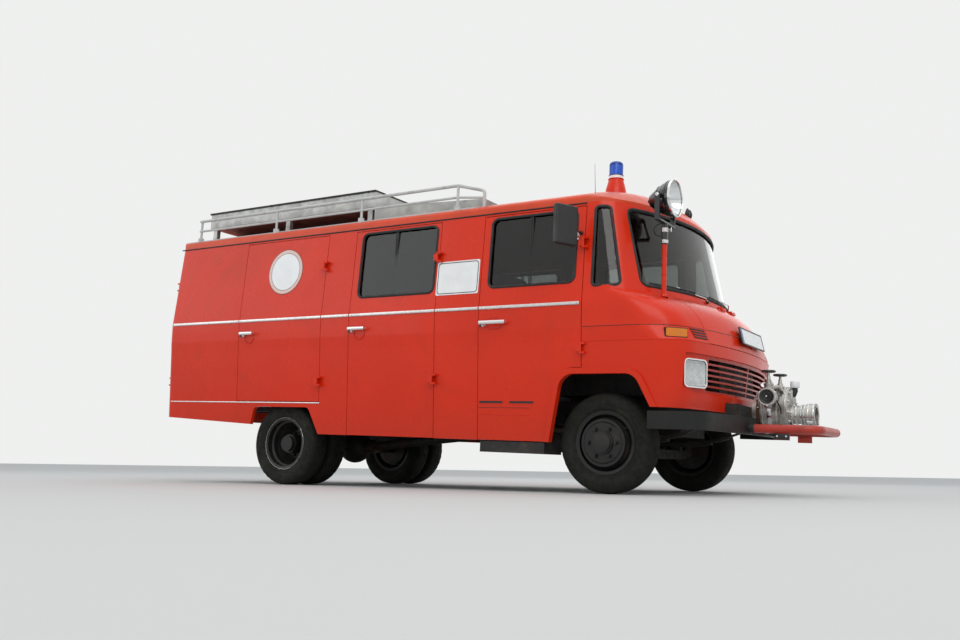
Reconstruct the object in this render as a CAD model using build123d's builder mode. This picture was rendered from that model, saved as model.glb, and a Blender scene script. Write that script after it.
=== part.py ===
"""Small fire engine on a van chassis: crew cab body, front pump, roof rack and searchlight.

Millimetres. +X is forward, +Y is the left side, +Z is up. Everything is drawn from a point on the
ground under the middle of the front axle, and written with its origin under the middle of the
whole, at MID_X. The body and frame stand nose-down by RAKE about the front hubs' line: their
pieces are drawn level and turned when they are written. Wheels and axles are drawn as they stand
on the ground.
"""

from build123d import *
import math
import os

os.makedirs("parts", exist_ok=True)

# Stance
MID_X = -1560.0
WHEELBASE = 2950
HUB_Z = 345
RAKE = 1.86
RAKE_AXIS = Axis((0, 0, HUB_Z), (0, 1, 0))
RUNNING_GAP = 5
SEAT_GAP = 0.3
PIN_FIT = 0.08
WIDE = 1200

# Body shell
SKIN = 34
REAR_X = -4405
REAR_TOP_X = -4378
REAR_CORNER_R = 60
SILL_Z = 335
NOSE_BOTTOM_Z = 586
BONNET_Z = 1125
STRIP_Z = 1295
COWL_Z = 1385
ROOF_Z = 2020
SHELL_SPLIT_X = -125
# Body behind the cab: height, half width
SIDE_LEVELS = ((SILL_Z, 989), (1030, 1034), (BONNET_Z, 1042), (STRIP_Z, 1046), (ROOF_Z, 998))
# Cab outlines: height, front, radius of the bowed front, radius of the corner, half width
LOWER_LEVELS = (
    (SILL_Z, 690, 3200, 200, 989),
    (597, 697, 3200, 220, 1006),
    (950, 733, 3200, 250, 1029),
    (1030, 735, 3200, 250, 1034),
    (BONNET_Z, 725, 2400, 350, 1042),
)
BONNET_LEVELS = (
    (BONNET_Z, 725, 2400, 350, 1042),
    (1210, 690, 2250, 320, 1044),
    (STRIP_Z, 625, 2040, 288, 1046),
    (1350, 546, 1850, 250, 1043),
    (COWL_Z, 480, 1700, 220, 1040),
)
CABIN_LEVELS = (
    (COWL_Z, 480, 1700, 220, 1040),
    (ROOF_Z, 335, 1750, 220, 998),
)

# Roof
CROWN_Z = 2265
CROWN_R = 2717
BROW_X = -178
BROW_R = 659
SHOULDER_R = 45
CAP_LOW = 1990

# Doors: front edge, rear edge, bottom, top
DOOR_TOP_Z = 1990
SIDE_DOORS = {
    "front_door": (-128, -970, SILL_Z + 2, DOOR_TOP_Z),
    "crew_door": (-1366, -2217, SILL_Z + 2, DOOR_TOP_Z),
    "locker_door": (-2520, -3479, 600, DOOR_TOP_Z),
}
# Windows in the doors: front edge, rear edge, bottom, top
DOOR_WINDOWS = {
    "front_door": (-195, -900, 1446, 1968),
    "crew_door": (-1400, -2146, 1438, 1968),
}
# Bar handles of the side doors: front end, rear end
HANDLES = {
    "front_door": (-722, -942),
    "crew_door": (-2028, -2195),
    "locker_door": (-3278, -3432),
}
WINDOW_R = 50
GLASS_OUT = 14
GLASS_IN = 20
HANDLE_Z = 1182
HANDLE_R = 11
HANDLE_STANDOFF = 32
REAR_DOOR_HALF = 960
REAR_DOOR_LOW = 600
# Rear window: outer edge, inner edge, bottom, top
REAR_WINDOW = (780, 200, 1440, 1900)
REAR_HANDLE_Y = 70

# Hinges: door and height
SIDE_HINGES = (
    ("front_door", 1720),
    ("front_door", 980),
    ("crew_door", 1710),
    ("crew_door", 774),
    ("locker_door", 1723),
    ("locker_door", 764),
)
REAR_HINGES = (1667, 773)
HINGE_Y = 1054
REAR_HINGE_X = -4414
KNUCKLE_R = 9
KNUCKLE_LENGTH = 50
LUG_LENGTH = 14
HINGE_END_GAP = 0.3
PIN_R = 4.5
ARM_START = 3
ARM_LENGTH = 30
REAR_ARM_LENGTH = 22
HINGE_BITE = 10

# Wheel arches: corners of the openings, and the raised lip round the front one
ARCH_POINTS = ((-392, 250), (-283, 806), (262, 806), (546, 250))
ARCH_R = 115
LIP_WIDTH = 40
LIP_PROUD = 16
LIP_BACK = -520
REAR_ARCH_POINTS = ((-3348, 250), (-3264, 552), (-2640, 552), (-2480, 250))
REAR_ARCH_R = 55
TAIL_BOTTOM_POINTS = ((-3290, 200), (-3290, 400), (-4500, 449), (-4500, 200))

# Front panel
RECESS_LOW = 694
RECESS_HIGH = 952
RECESS_HALF = 925
RECESS_DEPTH = 18
GRILLE_HALF = 682
GRILLE_LOW = 706
GRILLE_HIGH = 940
GRILLE_THICK = 14
GRILLE_SLOTS = 6
GRILLE_PITCH = 37
GRILLE_SLOT = 24
GRILLE_POST = 14
BONNET_HALF = 690
BONNET_LOW = 1034
BONNET_HIGH = 1350
BONNET_HINGE_X = 561
BONNET_HINGE_Y = 110
BONNET_HINGE_DEPTH = 36
BONNET_HINGE_ARM = 14
HEADLAMP_AT = (610, 810, 822)
HEADLAMP_TURN = 24
HEADLAMP_SIZE = (214, 192)
HEADLAMP_R = 34
HEADLAMP_DEPTH = 70
INDICATOR_AT = (524, 957, 1078)
INDICATOR_TURN = 47
INDICATOR_SIZE = (158, 66)
INDICATOR_R = 14
LAMP_PROUD = 5
LAMP_IN = 28
REAR_LAMP_SIZE = (26, 150, 70)
REAR_LAMP_AT = (850, 530)

# Windscreen and quarter windows
SCREEN_HALF = 860
SCREEN_LOW = 1428
SCREEN_HIGH = 1982
QUARTER_POINTS = ((-58, 1412), (138, 1412), (34, 1982), (-58, 1982))
QUARTER_R = 30

# Wheels and tyres
TYRE_R = 345
TYRE_HALF = 95
RIM_R = 203
FLANGE_R = 218
RIM_HALF = 79
DISC_OUT = 119
DISC_THICK = 12
DISC_R = 134
STUD_CIRCLE_R = 102.5
STUD_R = 9
NUT_R = 16
STUDS = 6
HUB_R = 78
HUB_OUT = 145
SPINDLE_R = 30
DRUM_R = 162
DRUM_IN = -40
FRONT_WHEEL_Y = 811
REAR_WHEEL_Y = 850
KINGPIN_Y = 720
KINGPIN_R = 18

# Chassis
RAIL_Y = 370
RAIL_WIDTH = 60
RAIL_WALL = 7
RAIL_LOW = 540
RAIL_HIGH = 650
RAIL_FRONT = 770
RAIL_REAR = -4330
CROSSMEMBERS = (740, -700, -1400, -2200, -3700, -4295)
BODY_MOUNTS = (-200, -800, -1400, -2100, -2700, -3400, -4100)
SPRING_Y = 455
SPRING_WIDTH = 56
LEAF = 12
# Springs: middle, underside, half length, rise of the ends
SPRINGS = ((0, 352, 560, 112), (-2948, 312, 620, 132))
AXLE_SEAT = 80
BEAM_LOW = 255
BEAM_HIGH = 325
EYE_HALF = 40
AXLE_TUBE_R = 50
DIFF_R = 150

# Floor
FLOOR_LOW = 700
FLOOR_HIGH = 736
FLOOR_FRONT = 412
FLOOR_REAR = -4363
FLOOR_HALF = 978
FLOOR_RELIEF = 10
SHEET = 8
HOUSING_FRONT = 425
HOUSING_REAR = -450
HOUSING_IN = 480
HOUSING_HIGH = 860
COVER_HALF = 338
COVER_REAR = -658
COVER_HIGH = 1020
FIREWALL_HIGH = 1100
BULKHEAD_X = -2500
BULKHEAD_HALF = 950
BULKHEAD_HIGH = 2030

# Bumper and pump
BUMPER_LOW = 445
BUMPER_HIGH = 562
BUMPER_FRONT = 830
BUMPER_BOW_R = 4000
BUMPER_CORNER_R = 160
BUMPER_HALF = 1005
BUMPER_BACK = 350
BUMPER_THICK = 30
PUMP_Z = 620
SUCTION_Z = 600
SUCTION_BORE_R = 52
SUCTION_END = 1190
SUCTION_DEPTH = 100
OUTLET_X = 920
OUTLET_Z = 710
OUTLET_END = 270
VALVE_X = 900
VALVE_Y = 150
VALVE_TOP = 885
GUARD_R = 30
GUARD_Z = 487
GUARD_Y = 310
GUARD_FRONT = 1270
GUARD_CORNER_R = 100

# Roof equipment
RACK_R = 13
RACK_POST_R = 11
RACK_MID_R = 10
RACK_Y = 948
RACK_POSTS = (-4190, -3210, -2235, -1270)
RACK_TOP_Z = 2290
RACK_MID_Z = 2195
RACK_END_X = -1040
DECK_OUT = 962
DECK_IN = 868
DECK_THICK = 4
DECK_FRONT = -1100
DECK_REAR = -4366
BOX_FRONT = -2200
BOX_REAR = -4220
BOX_OUT = 820
BOX_IN = 350
BOX_LOW = 2252
BOX_HIGH = 2385
BOX_WALL = 4
LID_HIGH = 2400
LID_LIP = 10
LID_HINGES = (-2500, -3210, -3920)
LID_HINGE_GAP = 12
BEACON_X = -372
BEACON_R = 57

# Searchlight
LIGHT_X = 368
LIGHT_Y = 790
POLE_R = 17
POLE_LOW = 1300
SLEEVE_R = 21
SLEEVE_LOW = 1716
SPIGOT_R = 10
SPIGOT_HIGH = 1760
YOKE_LOW = 1860
YOKE_THICK = 12
YOKE_HALF = 148
TILT_Z = 2034
LENS_R = 130
LENS_X = 446
TILT_PIN_R = 8
CABLE_R = 4

# Mirrors
MIRROR_AT = (-180, 1215, 1810)
MIRROR_SIZE = (190, 45, 280)
MIRROR_TURN = 65
MIRROR_FOOT = (-163, 1792)


def write(piece, name):
    """Write a piece as it stands on the ground, measured from the middle of the whole."""
    placed = piece.moved(Location((-MID_X, 0, 0)))
    placed.label = name
    export_step(placed, f"parts/{name}.step")


def write_raked(piece, name):
    """Write a piece of the body or frame, turned to the body's rake."""
    write(piece.rotate(RAKE_AXIS, RAKE), name)


def both_sides(piece):
    """A piece of the right side with its mirror image on the left."""
    return [piece, piece.mirror(Plane.XZ)]


def raked(x, z):
    """Where a point of the level body stands on the ground: x and z."""
    turn = math.radians(RAKE)
    ground_x = x * math.cos(turn) + (z - HUB_Z) * math.sin(turn)
    ground_z = HUB_Z + (z - HUB_Z) * math.cos(turn) - x * math.sin(turn)
    return ground_x, ground_z


def cab_outline(z, front, front_r, corner_r, half, inset=0, back=SHELL_SPLIT_X, back_r=0):
    """Level outline: bowed front, round front corners, straight sides and back."""
    bow_x = front - front_r
    corner_y = half - corner_r
    reach = front_r - corner_r
    corner_x = bow_x + math.sqrt(reach**2 - corner_y**2)
    turn = math.asin(corner_y / reach)
    bow = front_r - inset
    corner = corner_r - inset
    joint = (bow_x + bow * math.cos(turn), bow * math.sin(turn))
    half_turn = (turn + math.pi / 2) / 2
    middle = (corner_x + corner * math.cos(half_turn), corner_y + corner * math.sin(half_turn))
    side = half - inset
    with BuildSketch(Plane.XY.offset(z)) as level:
        with BuildLine():
            ThreePointArc((joint[0], -joint[1]), (front - inset, 0), joint)
            ThreePointArc(joint, middle, (corner_x, side))
            Polyline((corner_x, side), (back, side), (back, -side), (corner_x, -side))
            ThreePointArc((corner_x, -side), (middle[0], -middle[1]), (joint[0], -joint[1]))
        make_face()
        if back_r:
            fillet(level.vertices().group_by(Axis.X)[0], back_r)
    return level.sketch


def rear_outline(z, half, inset):
    """Level outline of the body behind the cab, with round rear corners."""
    lean = (REAR_TOP_X - REAR_X) * max(0, z - STRIP_Z) / (ROOF_Z - STRIP_Z)
    back = REAR_X + lean + inset
    length = SHELL_SPLIT_X - back
    with BuildSketch(Plane.XY.offset(z)) as level:
        with Locations((SHELL_SPLIT_X - length / 2, 0)):
            Rectangle(length, 2 * (half - inset))
        fillet(level.vertices().group_by(Axis.X)[0], REAR_CORNER_R - inset)
    return level.sketch


def rear_volume(inset):
    """The body behind the cab as one solid, drawn in by the inset."""
    with BuildPart() as volume:
        loft([rear_outline(z, half, inset) for z, half in SIDE_LEVELS], ruled=True)
    return volume.part


def lower_volume(inset, back=SHELL_SPLIT_X):
    """The cab below the bonnet crease."""
    with BuildPart() as volume:
        loft([cab_outline(*row, inset, back) for row in LOWER_LEVELS], ruled=True)
    return volume.part


def screen_volume(inset):
    """The cab between cowl and roof line."""
    with BuildPart() as volume:
        loft([cab_outline(*row, inset) for row in CABIN_LEVELS], ruled=True)
    return volume.part


def cab_volume(inset):
    """The whole cab from sill to roof line."""
    with BuildPart() as volume:
        add(lower_volume(inset))
        loft([cab_outline(*row, inset) for row in BONNET_LEVELS])
        add(screen_volume(inset))
    return volume.part


def roof_volume(inset):
    """Roof over the roof line: crowned across, with its brow turned down over the windscreen."""
    crown = CROWN_Z - inset
    radius = CROWN_R - inset
    half = CABIN_LEVELS[-1][4] - inset
    edge = crown - radius + math.sqrt(radius**2 - half**2)
    with BuildPart() as roof:
        with BuildSketch(Plane.YZ.offset(BROW_X)) as section:
            with BuildLine():
                Polyline((-half, edge), (-half, CAP_LOW), (half, CAP_LOW), (half, edge))
                ThreePointArc((half, edge), (0, crown), (-half, edge))
            make_face()
            fillet(section.vertices().group_by(Axis.Y)[1], SHOULDER_R - inset)
        extrude(amount=REAR_X - BROW_X)
        brow_axis = Axis((BROW_X, 0, CROWN_Z - BROW_R), (0, 1, 0))
        revolve(section.sketch, axis=brow_axis, revolution_arc=60)
        back = REAR_TOP_X + inset
        plan = cab_outline(*CABIN_LEVELS[-1], inset, back, REAR_CORNER_R - inset)
        extrude(plan, amount=CROWN_Z - ROOF_Z + 10, mode=Mode.INTERSECT)
    return roof.part


def side_outline(points, radius, grow=0):
    """Outline drawn on the side view, with its two upper corners rounded."""
    with BuildSketch(Plane.XZ) as outline:
        with BuildLine():
            Polyline(*points, close=True)
        make_face()
        if grow:
            offset(amount=grow, kind=Kind.INTERSECTION)
        fillet(outline.vertices().group_by(Axis.Y)[-1], radius)
    return outline.sketch


def side_box(front, rear, low, high):
    """Rectangle on the side view."""
    with BuildSketch(Plane.XZ) as outline:
        with Locations(((front + rear) / 2, (low + high) / 2)):
            Rectangle(front - rear, high - low)
    return outline.sketch


def side_window(front, rear, low, high, shrink=0):
    """Round-cornered window on the side view."""
    with BuildSketch(Plane.XZ) as outline:
        with Locations(((front + rear) / 2, (low + high) / 2)):
            RectangleRounded(front - rear - 2 * shrink, high - low - 2 * shrink, WINDOW_R - shrink)
    return outline.sketch


def quarter_window(shrink=0):
    """Four-sided window between the front door and the windscreen pillar."""
    with BuildSketch(Plane.XZ) as outline:
        with BuildLine():
            Polyline(*QUARTER_POINTS, close=True)
        make_face()
        fillet(outline.vertices(), QUARTER_R)
        if shrink:
            offset(amount=-shrink)
    return outline.sketch


def front_box(half, low, high, station):
    """Rectangle on a plane across the car at one station of its length."""
    with BuildSketch(Plane.YZ.offset(station)) as outline:
        with Locations((0, (low + high) / 2)):
            Rectangle(2 * half, high - low)
    return outline.sketch


def front_window(edge, other_edge, low, high, station, shrink=0):
    """Round-cornered window on a plane across the car, on the right half or over the middle."""
    with BuildSketch(Plane.YZ.offset(station)) as outline:
        with Locations((-(edge + other_edge) / 2, (low + high) / 2)):
            width = edge - other_edge - 2 * shrink
            RectangleRounded(width, high - low - 2 * shrink, WINDOW_R - shrink)
    return outline.sketch


def block(x, y, z):
    """Box between two stations each way."""
    with BuildPart() as box:
        with Locations(((x[0] + x[1]) / 2, (y[0] + y[1]) / 2, (z[0] + z[1]) / 2)):
            Box(abs(x[1] - x[0]), abs(y[1] - y[0]), abs(z[1] - z[0]))
    return box.part


def along_x(radius, start, end, y, z):
    """Round bar along the car."""
    with BuildPart() as bar:
        with BuildSketch(Plane.YZ.offset(start)):
            with Locations((y, z)):
                Circle(radius)
        extrude(amount=end - start)
    return bar.part


def along_y(radius, start, end, x, z):
    """Round bar across the car."""
    with BuildPart() as bar:
        with BuildSketch(Plane.XZ.offset(-start)):
            with Locations((x, z)):
                Circle(radius)
        extrude(amount=start - end)
    return bar.part


def along_z(radius, low, high, x, y):
    """Round upright bar."""
    with BuildPart() as bar:
        with BuildSketch(Plane.XY.offset(low)):
            with Locations((x, y)):
                Circle(radius)
        extrude(amount=high - low)
    return bar.part


def tube_run(points, bend, radius):
    """Round bar along straight runs with tangent bends."""
    with BuildPart() as run:
        with BuildLine() as path:
            FilletPolyline(*points, radius=bend)
        with BuildSketch(Plane(origin=path.line @ 0, z_dir=path.line % 0)):
            Circle(radius)
        sweep()
    return run.part


def skin_y(z):
    """Half width of the body side at one height."""
    for (low, half_low), (high, half_high) in zip(SIDE_LEVELS, SIDE_LEVELS[1:]):
        if z <= high:
            return half_low + (half_high - half_low) * (z - low) / (high - low)
    return SIDE_LEVELS[-1][1]


def rear_skin_x(z):
    """Station of the rear face at one height."""
    return REAR_X + (REAR_TOP_X - REAR_X) * max(0, z - STRIP_Z) / (ROOF_Z - STRIP_Z)


def fixed_hinge(plane, depth, arm=ARM_LENGTH):
    """Fixed half of a hinge: two lugs and the pin. X points to the fixed side, Y into the panel."""
    lug_z = KNUCKLE_LENGTH / 2 + HINGE_END_GAP + LUG_LENGTH / 2
    with BuildPart(plane) as lugs:
        Cylinder(PIN_R, KNUCKLE_LENGTH + 2 * LUG_LENGTH)
        for side in (-1, 1):
            with Locations((0, 0, side * lug_z)):
                Cylinder(KNUCKLE_R, LUG_LENGTH)
            with Locations((ARM_START + arm / 2, (depth - ARM_START) / 2, side * lug_z)):
                Box(arm, depth + ARM_START, LUG_LENGTH)
    return lugs.part


def moving_hinge(plane, depth, arm=ARM_LENGTH):
    """Moving half of a hinge: a knuckle round the pin and its arm."""
    with BuildPart(plane) as knuckle:
        Cylinder(KNUCKLE_R, KNUCKLE_LENGTH)
        with Locations((-ARM_START - arm / 2, (depth - ARM_START) / 2, 0)):
            Box(arm, depth + ARM_START, KNUCKLE_LENGTH)
        Cylinder(PIN_R + PIN_FIT, KNUCKLE_LENGTH, mode=Mode.SUBTRACT)
    return knuckle.part


def side_hinge_plane(door, z):
    """Plane of one hinge of a right-hand side door."""
    hinge_x = SIDE_DOORS[door][0] + RUNNING_GAP / 2
    return Plane(origin=(hinge_x, -HINGE_Y, z), x_dir=(1, 0, 0), z_dir=(0, 0, 1))


def side_hinge_depth(z):
    """How far a side hinge's arms reach in, to bite into the skin."""
    return HINGE_Y - skin_y(z) + HINGE_BITE


def rear_hinge_plane(z):
    """Plane of one hinge of the right-hand rear door."""
    hinge_y = REAR_DOOR_HALF + RUNNING_GAP / 2
    return Plane(origin=(REAR_HINGE_X, -hinge_y, z), x_dir=(0, -1, 0), z_dir=(0, 0, 1))


def rear_hinge_depth(z):
    """How far a rear hinge's arms reach in, to bite into the rear face."""
    return rear_skin_x(z) - REAR_HINGE_X + HINGE_BITE


def bonnet_hinge_plane(y):
    """Plane of one bonnet hinge, over the gap behind the bonnet."""
    hinge_z = BONNET_HIGH + RUNNING_GAP / 2
    return Plane(origin=(BONNET_HINGE_X, y, hinge_z), x_dir=(0, 0, 1), z_dir=(0, -1, 0))


# Shells of the rear body and of the cab
with BuildPart() as rear_shell:
    add(rear_volume(0))
    add(rear_volume(SKIN), mode=Mode.SUBTRACT)

cab_outer = cab_volume(0)
with BuildPart() as cab_shell:
    add(cab_outer)
    add(cab_volume(SKIN), mode=Mode.SUBTRACT)

arch = side_outline(ARCH_POINTS, ARCH_R)
arch_lip = side_outline(ARCH_POINTS, ARCH_R + LIP_WIDTH, LIP_WIDTH)
arch_gap = side_outline(ARCH_POINTS, ARCH_R + LIP_WIDTH + RUNNING_GAP, LIP_WIDTH + RUNNING_GAP)
rear_arch = side_outline(REAR_ARCH_POINTS, REAR_ARCH_R)

# Body sides: everything behind the cab, with the doorways cut
with BuildPart() as body_sides:
    add(rear_shell.part)
    for door, (front, rear, low, high) in SIDE_DOORS.items():
        doorway_front = 0 if door == "front_door" else front + RUNNING_GAP / 2
        doorway_low = low - RUNNING_GAP if low > SILL_Z + RUNNING_GAP else 0
        doorway = side_box(doorway_front, rear - RUNNING_GAP / 2, doorway_low, high + RUNNING_GAP)
        extrude(doorway, amount=WIDE, both=True, mode=Mode.SUBTRACT)
    extrude(rear_arch, amount=WIDE, both=True, mode=Mode.SUBTRACT)
    with BuildSketch(Plane.XZ) as tail_bottom:
        with BuildLine():
            Polyline(*TAIL_BOTTOM_POINTS, close=True)
        make_face()
    extrude(tail_bottom.sketch, amount=WIDE, both=True, mode=Mode.SUBTRACT)
    rear_opening = front_box(
        REAR_DOOR_HALF + RUNNING_GAP, REAR_DOOR_LOW - RUNNING_GAP, DOOR_TOP_Z + RUNNING_GAP, REAR_X + 100
    )
    extrude(rear_opening, amount=-200, mode=Mode.SUBTRACT)
    for door, z in SIDE_HINGES:
        if door != "front_door":
            add(both_sides(fixed_hinge(side_hinge_plane(door, z), side_hinge_depth(z))))
    for z in REAR_HINGES:
        add(both_sides(fixed_hinge(rear_hinge_plane(z), rear_hinge_depth(z), REAR_ARM_LENGTH)))
write_raked(body_sides.part, "body_sides")

with BuildPart() as glass_slice:
    add(rear_volume(GLASS_OUT))
    add(rear_volume(GLASS_IN), mode=Mode.SUBTRACT)

# Side doors: each is the whole wall inside its outline, with its window, handle and hinges
for door, (front, rear, low, high) in SIDE_DOORS.items():
    leaf_outline = side_box(front - RUNNING_GAP / 2, rear + RUNNING_GAP / 2, low, high)
    handle_front, handle_rear = HANDLES[door]
    handle_y = skin_y(HANDLE_Z) + HANDLE_STANDOFF
    with BuildPart() as leaf:
        add(rear_shell.part)
        extrude(leaf_outline, amount=WIDE, mode=Mode.INTERSECT)
        if door == "front_door":
            extrude(arch_gap, amount=WIDE, mode=Mode.SUBTRACT)
        if door in DOOR_WINDOWS:
            extrude(side_window(*DOOR_WINDOWS[door]), amount=WIDE, mode=Mode.SUBTRACT)
        add(along_x(HANDLE_R, handle_rear, handle_front, -handle_y, HANDLE_Z))
        for foot_x in (handle_rear + HANDLE_R, handle_front - HANDLE_R):
            foot_in = HANDLE_R - skin_y(HANDLE_Z)
            add(along_y(HANDLE_R * 0.8, foot_in, -handle_y, foot_x, HANDLE_Z))
        for hinged_door, z in SIDE_HINGES:
            if hinged_door == door:
                add(moving_hinge(side_hinge_plane(door, z), side_hinge_depth(z)))
    right_leaf, left_leaf = both_sides(leaf.part)
    write_raked(right_leaf, f"{door}_right")
    write_raked(left_leaf, f"{door}_left")

for door, window in DOOR_WINDOWS.items():
    with BuildPart() as pane:
        add(glass_slice.part)
        extrude(side_window(*window, SEAT_GAP), amount=WIDE, mode=Mode.INTERSECT)
    right_pane, left_pane = both_sides(pane.part)
    write_raked(right_pane, f"{door}_glass_right")
    write_raked(left_pane, f"{door}_glass_left")

# Rear doors: two leaves hinged at the body's rear corners
with BuildPart() as rear_leaf:
    add(rear_shell.part)
    with BuildSketch(Plane.YZ.offset(REAR_X + 100)):
        with Locations((-(2 * REAR_DOOR_HALF + RUNNING_GAP) / 4, (REAR_DOOR_LOW + DOOR_TOP_Z) / 2)):
            Rectangle(REAR_DOOR_HALF - RUNNING_GAP / 2, DOOR_TOP_Z - REAR_DOOR_LOW)
    extrude(amount=-200, mode=Mode.INTERSECT)
    extrude(front_window(*REAR_WINDOW, REAR_X + 100), amount=-200, mode=Mode.SUBTRACT)
    rear_handle_x = REAR_X - HANDLE_STANDOFF
    rear_bar = along_z(HANDLE_R, HANDLE_Z - 80, HANDLE_Z + 80, rear_handle_x, -REAR_HANDLE_Y)
    add(rear_bar)
    for z in (HANDLE_Z - 60, HANDLE_Z + 60):
        add(along_x(HANDLE_R * 0.8, rear_handle_x, REAR_X + HANDLE_R, -REAR_HANDLE_Y, z))
    for z in REAR_HINGES:
        add(moving_hinge(rear_hinge_plane(z), rear_hinge_depth(z), REAR_ARM_LENGTH))
right_leaf, left_leaf = both_sides(rear_leaf.part)
write_raked(right_leaf, "rear_door_right")
write_raked(left_leaf, "rear_door_left")

with BuildPart() as rear_pane:
    add(glass_slice.part)
    extrude(front_window(*REAR_WINDOW, REAR_X + 100, SEAT_GAP), amount=-200, mode=Mode.INTERSECT)
right_pane, left_pane = both_sides(rear_pane.part)
write_raked(right_pane, "rear_door_glass_right")
write_raked(left_pane, "rear_door_glass_left")

# Roof panel
roof_outer = roof_volume(0)
with BuildPart() as roof_panel:
    add(roof_outer)
    add(roof_volume(SKIN), mode=Mode.SUBTRACT)
write_raked(roof_panel.part, "roof_panel")
roof_clear = roof_outer.moved(Location((0, 0, SEAT_GAP)))

# Arch lip: a raised band round the front wheel opening
with BuildPart() as lip:
    add(lower_volume(-LIP_PROUD, LIP_BACK))
    add(lower_volume(SKIN, LIP_BACK), mode=Mode.SUBTRACT)
    extrude(arch_lip, amount=WIDE, both=True, mode=Mode.INTERSECT)
    extrude(arch, amount=WIDE, both=True, mode=Mode.SUBTRACT)


def headlamp_prism(low, high, grow=0):
    """Block in the headlamp's outline, from behind its lens to in front of it."""
    turn = math.radians(HEADLAMP_TURN)
    x, y, z = HEADLAMP_AT
    plane = Plane(
        origin=(x, -y, z),
        x_dir=(math.sin(turn), math.cos(turn), 0),
        z_dir=(math.cos(turn), -math.sin(turn), 0),
    )
    with BuildPart() as prism:
        with BuildSketch(plane.offset(low)):
            width, height = HEADLAMP_SIZE
            RectangleRounded(width + 2 * grow, height + 2 * grow, HEADLAMP_R)
        extrude(amount=high - low)
    return prism.part


def indicator_prism(grow=0):
    """Block in the indicator's outline, through the corner of the wing."""
    turn = math.radians(INDICATOR_TURN)
    x, y, z = INDICATOR_AT
    plane = Plane(
        origin=(x, -y, z),
        x_dir=(math.sin(turn), math.cos(turn), 0),
        z_dir=(math.cos(turn), -math.sin(turn), 0),
    )
    with BuildPart() as prism:
        with BuildSketch(plane.offset(-80)):
            width, height = INDICATOR_SIZE
            RectangleRounded(width + 2 * grow, height + 2 * grow, INDICATOR_R)
        extrude(amount=160)
    return prism.part


# Cab front: wings, front panel, cowl and windscreen frame
with BuildPart() as recess_cut:
    extrude(front_box(RECESS_HALF, RECESS_LOW, RECESS_HIGH, 450), amount=450)
    add(lower_volume(RECESS_DEPTH), mode=Mode.SUBTRACT)

screen_hole = front_window(SCREEN_HALF, -SCREEN_HALF, SCREEN_LOW, SCREEN_HIGH, 100)
with BuildPart() as cab_front:
    add(cab_shell.part)
    extrude(arch_lip, amount=WIDE, both=True, mode=Mode.SUBTRACT)
    add(lip.part)
    extrude(side_box(900, 0, 0, NOSE_BOTTOM_Z), amount=WIDE, both=True, mode=Mode.SUBTRACT)
    bonnet_gap = front_box(
        BONNET_HALF + RUNNING_GAP, BONNET_LOW - RUNNING_GAP, BONNET_HIGH + RUNNING_GAP, 300
    )
    extrude(bonnet_gap, amount=600, mode=Mode.SUBTRACT)
    add(recess_cut.part, mode=Mode.SUBTRACT)
    extrude(front_box(GRILLE_HALF, GRILLE_LOW, GRILLE_HIGH, 450), amount=450, mode=Mode.SUBTRACT)
    add(both_sides(headlamp_prism(-200, 100, SEAT_GAP)), mode=Mode.SUBTRACT)
    add(both_sides(indicator_prism(SEAT_GAP)), mode=Mode.SUBTRACT)
    extrude(screen_hole, amount=500, mode=Mode.SUBTRACT)
    extrude(quarter_window(), amount=WIDE, both=True, mode=Mode.SUBTRACT)
    rail_side = (-RAIL_Y - RAIL_WIDTH / 2 - RUNNING_GAP, -RAIL_Y + RAIL_WIDTH / 2 + RUNNING_GAP)
    rail_notch = block((550, 800), rail_side, (NOSE_BOTTOM_Z - 10, RAIL_HIGH + RUNNING_GAP))
    add(both_sides(rail_notch), mode=Mode.SUBTRACT)
    for door, z in SIDE_HINGES:
        if door == "front_door":
            add(both_sides(fixed_hinge(side_hinge_plane(door, z), side_hinge_depth(z))))
    for y in (-BONNET_HINGE_Y, BONNET_HINGE_Y):
        add(fixed_hinge(bonnet_hinge_plane(y), BONNET_HINGE_DEPTH, BONNET_HINGE_ARM))
write_raked(cab_front.part, "cab_front")

with BuildPart() as bonnet:
    add(cab_shell.part)
    extrude(front_box(BONNET_HALF, BONNET_LOW, BONNET_HIGH, 300), amount=600, mode=Mode.INTERSECT)
    for y in (-BONNET_HINGE_Y, BONNET_HINGE_Y):
        add(moving_hinge(bonnet_hinge_plane(y), BONNET_HINGE_DEPTH, BONNET_HINGE_ARM))
write_raked(bonnet.part, "bonnet")

with BuildPart() as grille:
    grille_blank = front_box(GRILLE_HALF - SEAT_GAP, GRILLE_LOW + SEAT_GAP, GRILLE_HIGH - SEAT_GAP, 450)
    extrude(grille_blank, amount=450)
    add(lower_volume(RECESS_DEPTH), mode=Mode.INTERSECT)
    add(lower_volume(RECESS_DEPTH + GRILLE_THICK), mode=Mode.SUBTRACT)
    slot_width = GRILLE_HALF - 2 * GRILLE_POST
    with BuildSketch(Plane.YZ.offset(450)):
        for row in range(GRILLE_SLOTS):
            slot_z = (GRILLE_LOW + GRILLE_HIGH) / 2 + (row - (GRILLE_SLOTS - 1) / 2) * GRILLE_PITCH
            for side in (-1, 1):
                with Locations((side * (slot_width / 2 + GRILLE_POST / 2), slot_z)):
                    Rectangle(slot_width, GRILLE_SLOT)
    extrude(amount=450, mode=Mode.SUBTRACT)
write_raked(grille.part, "grille")

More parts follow.
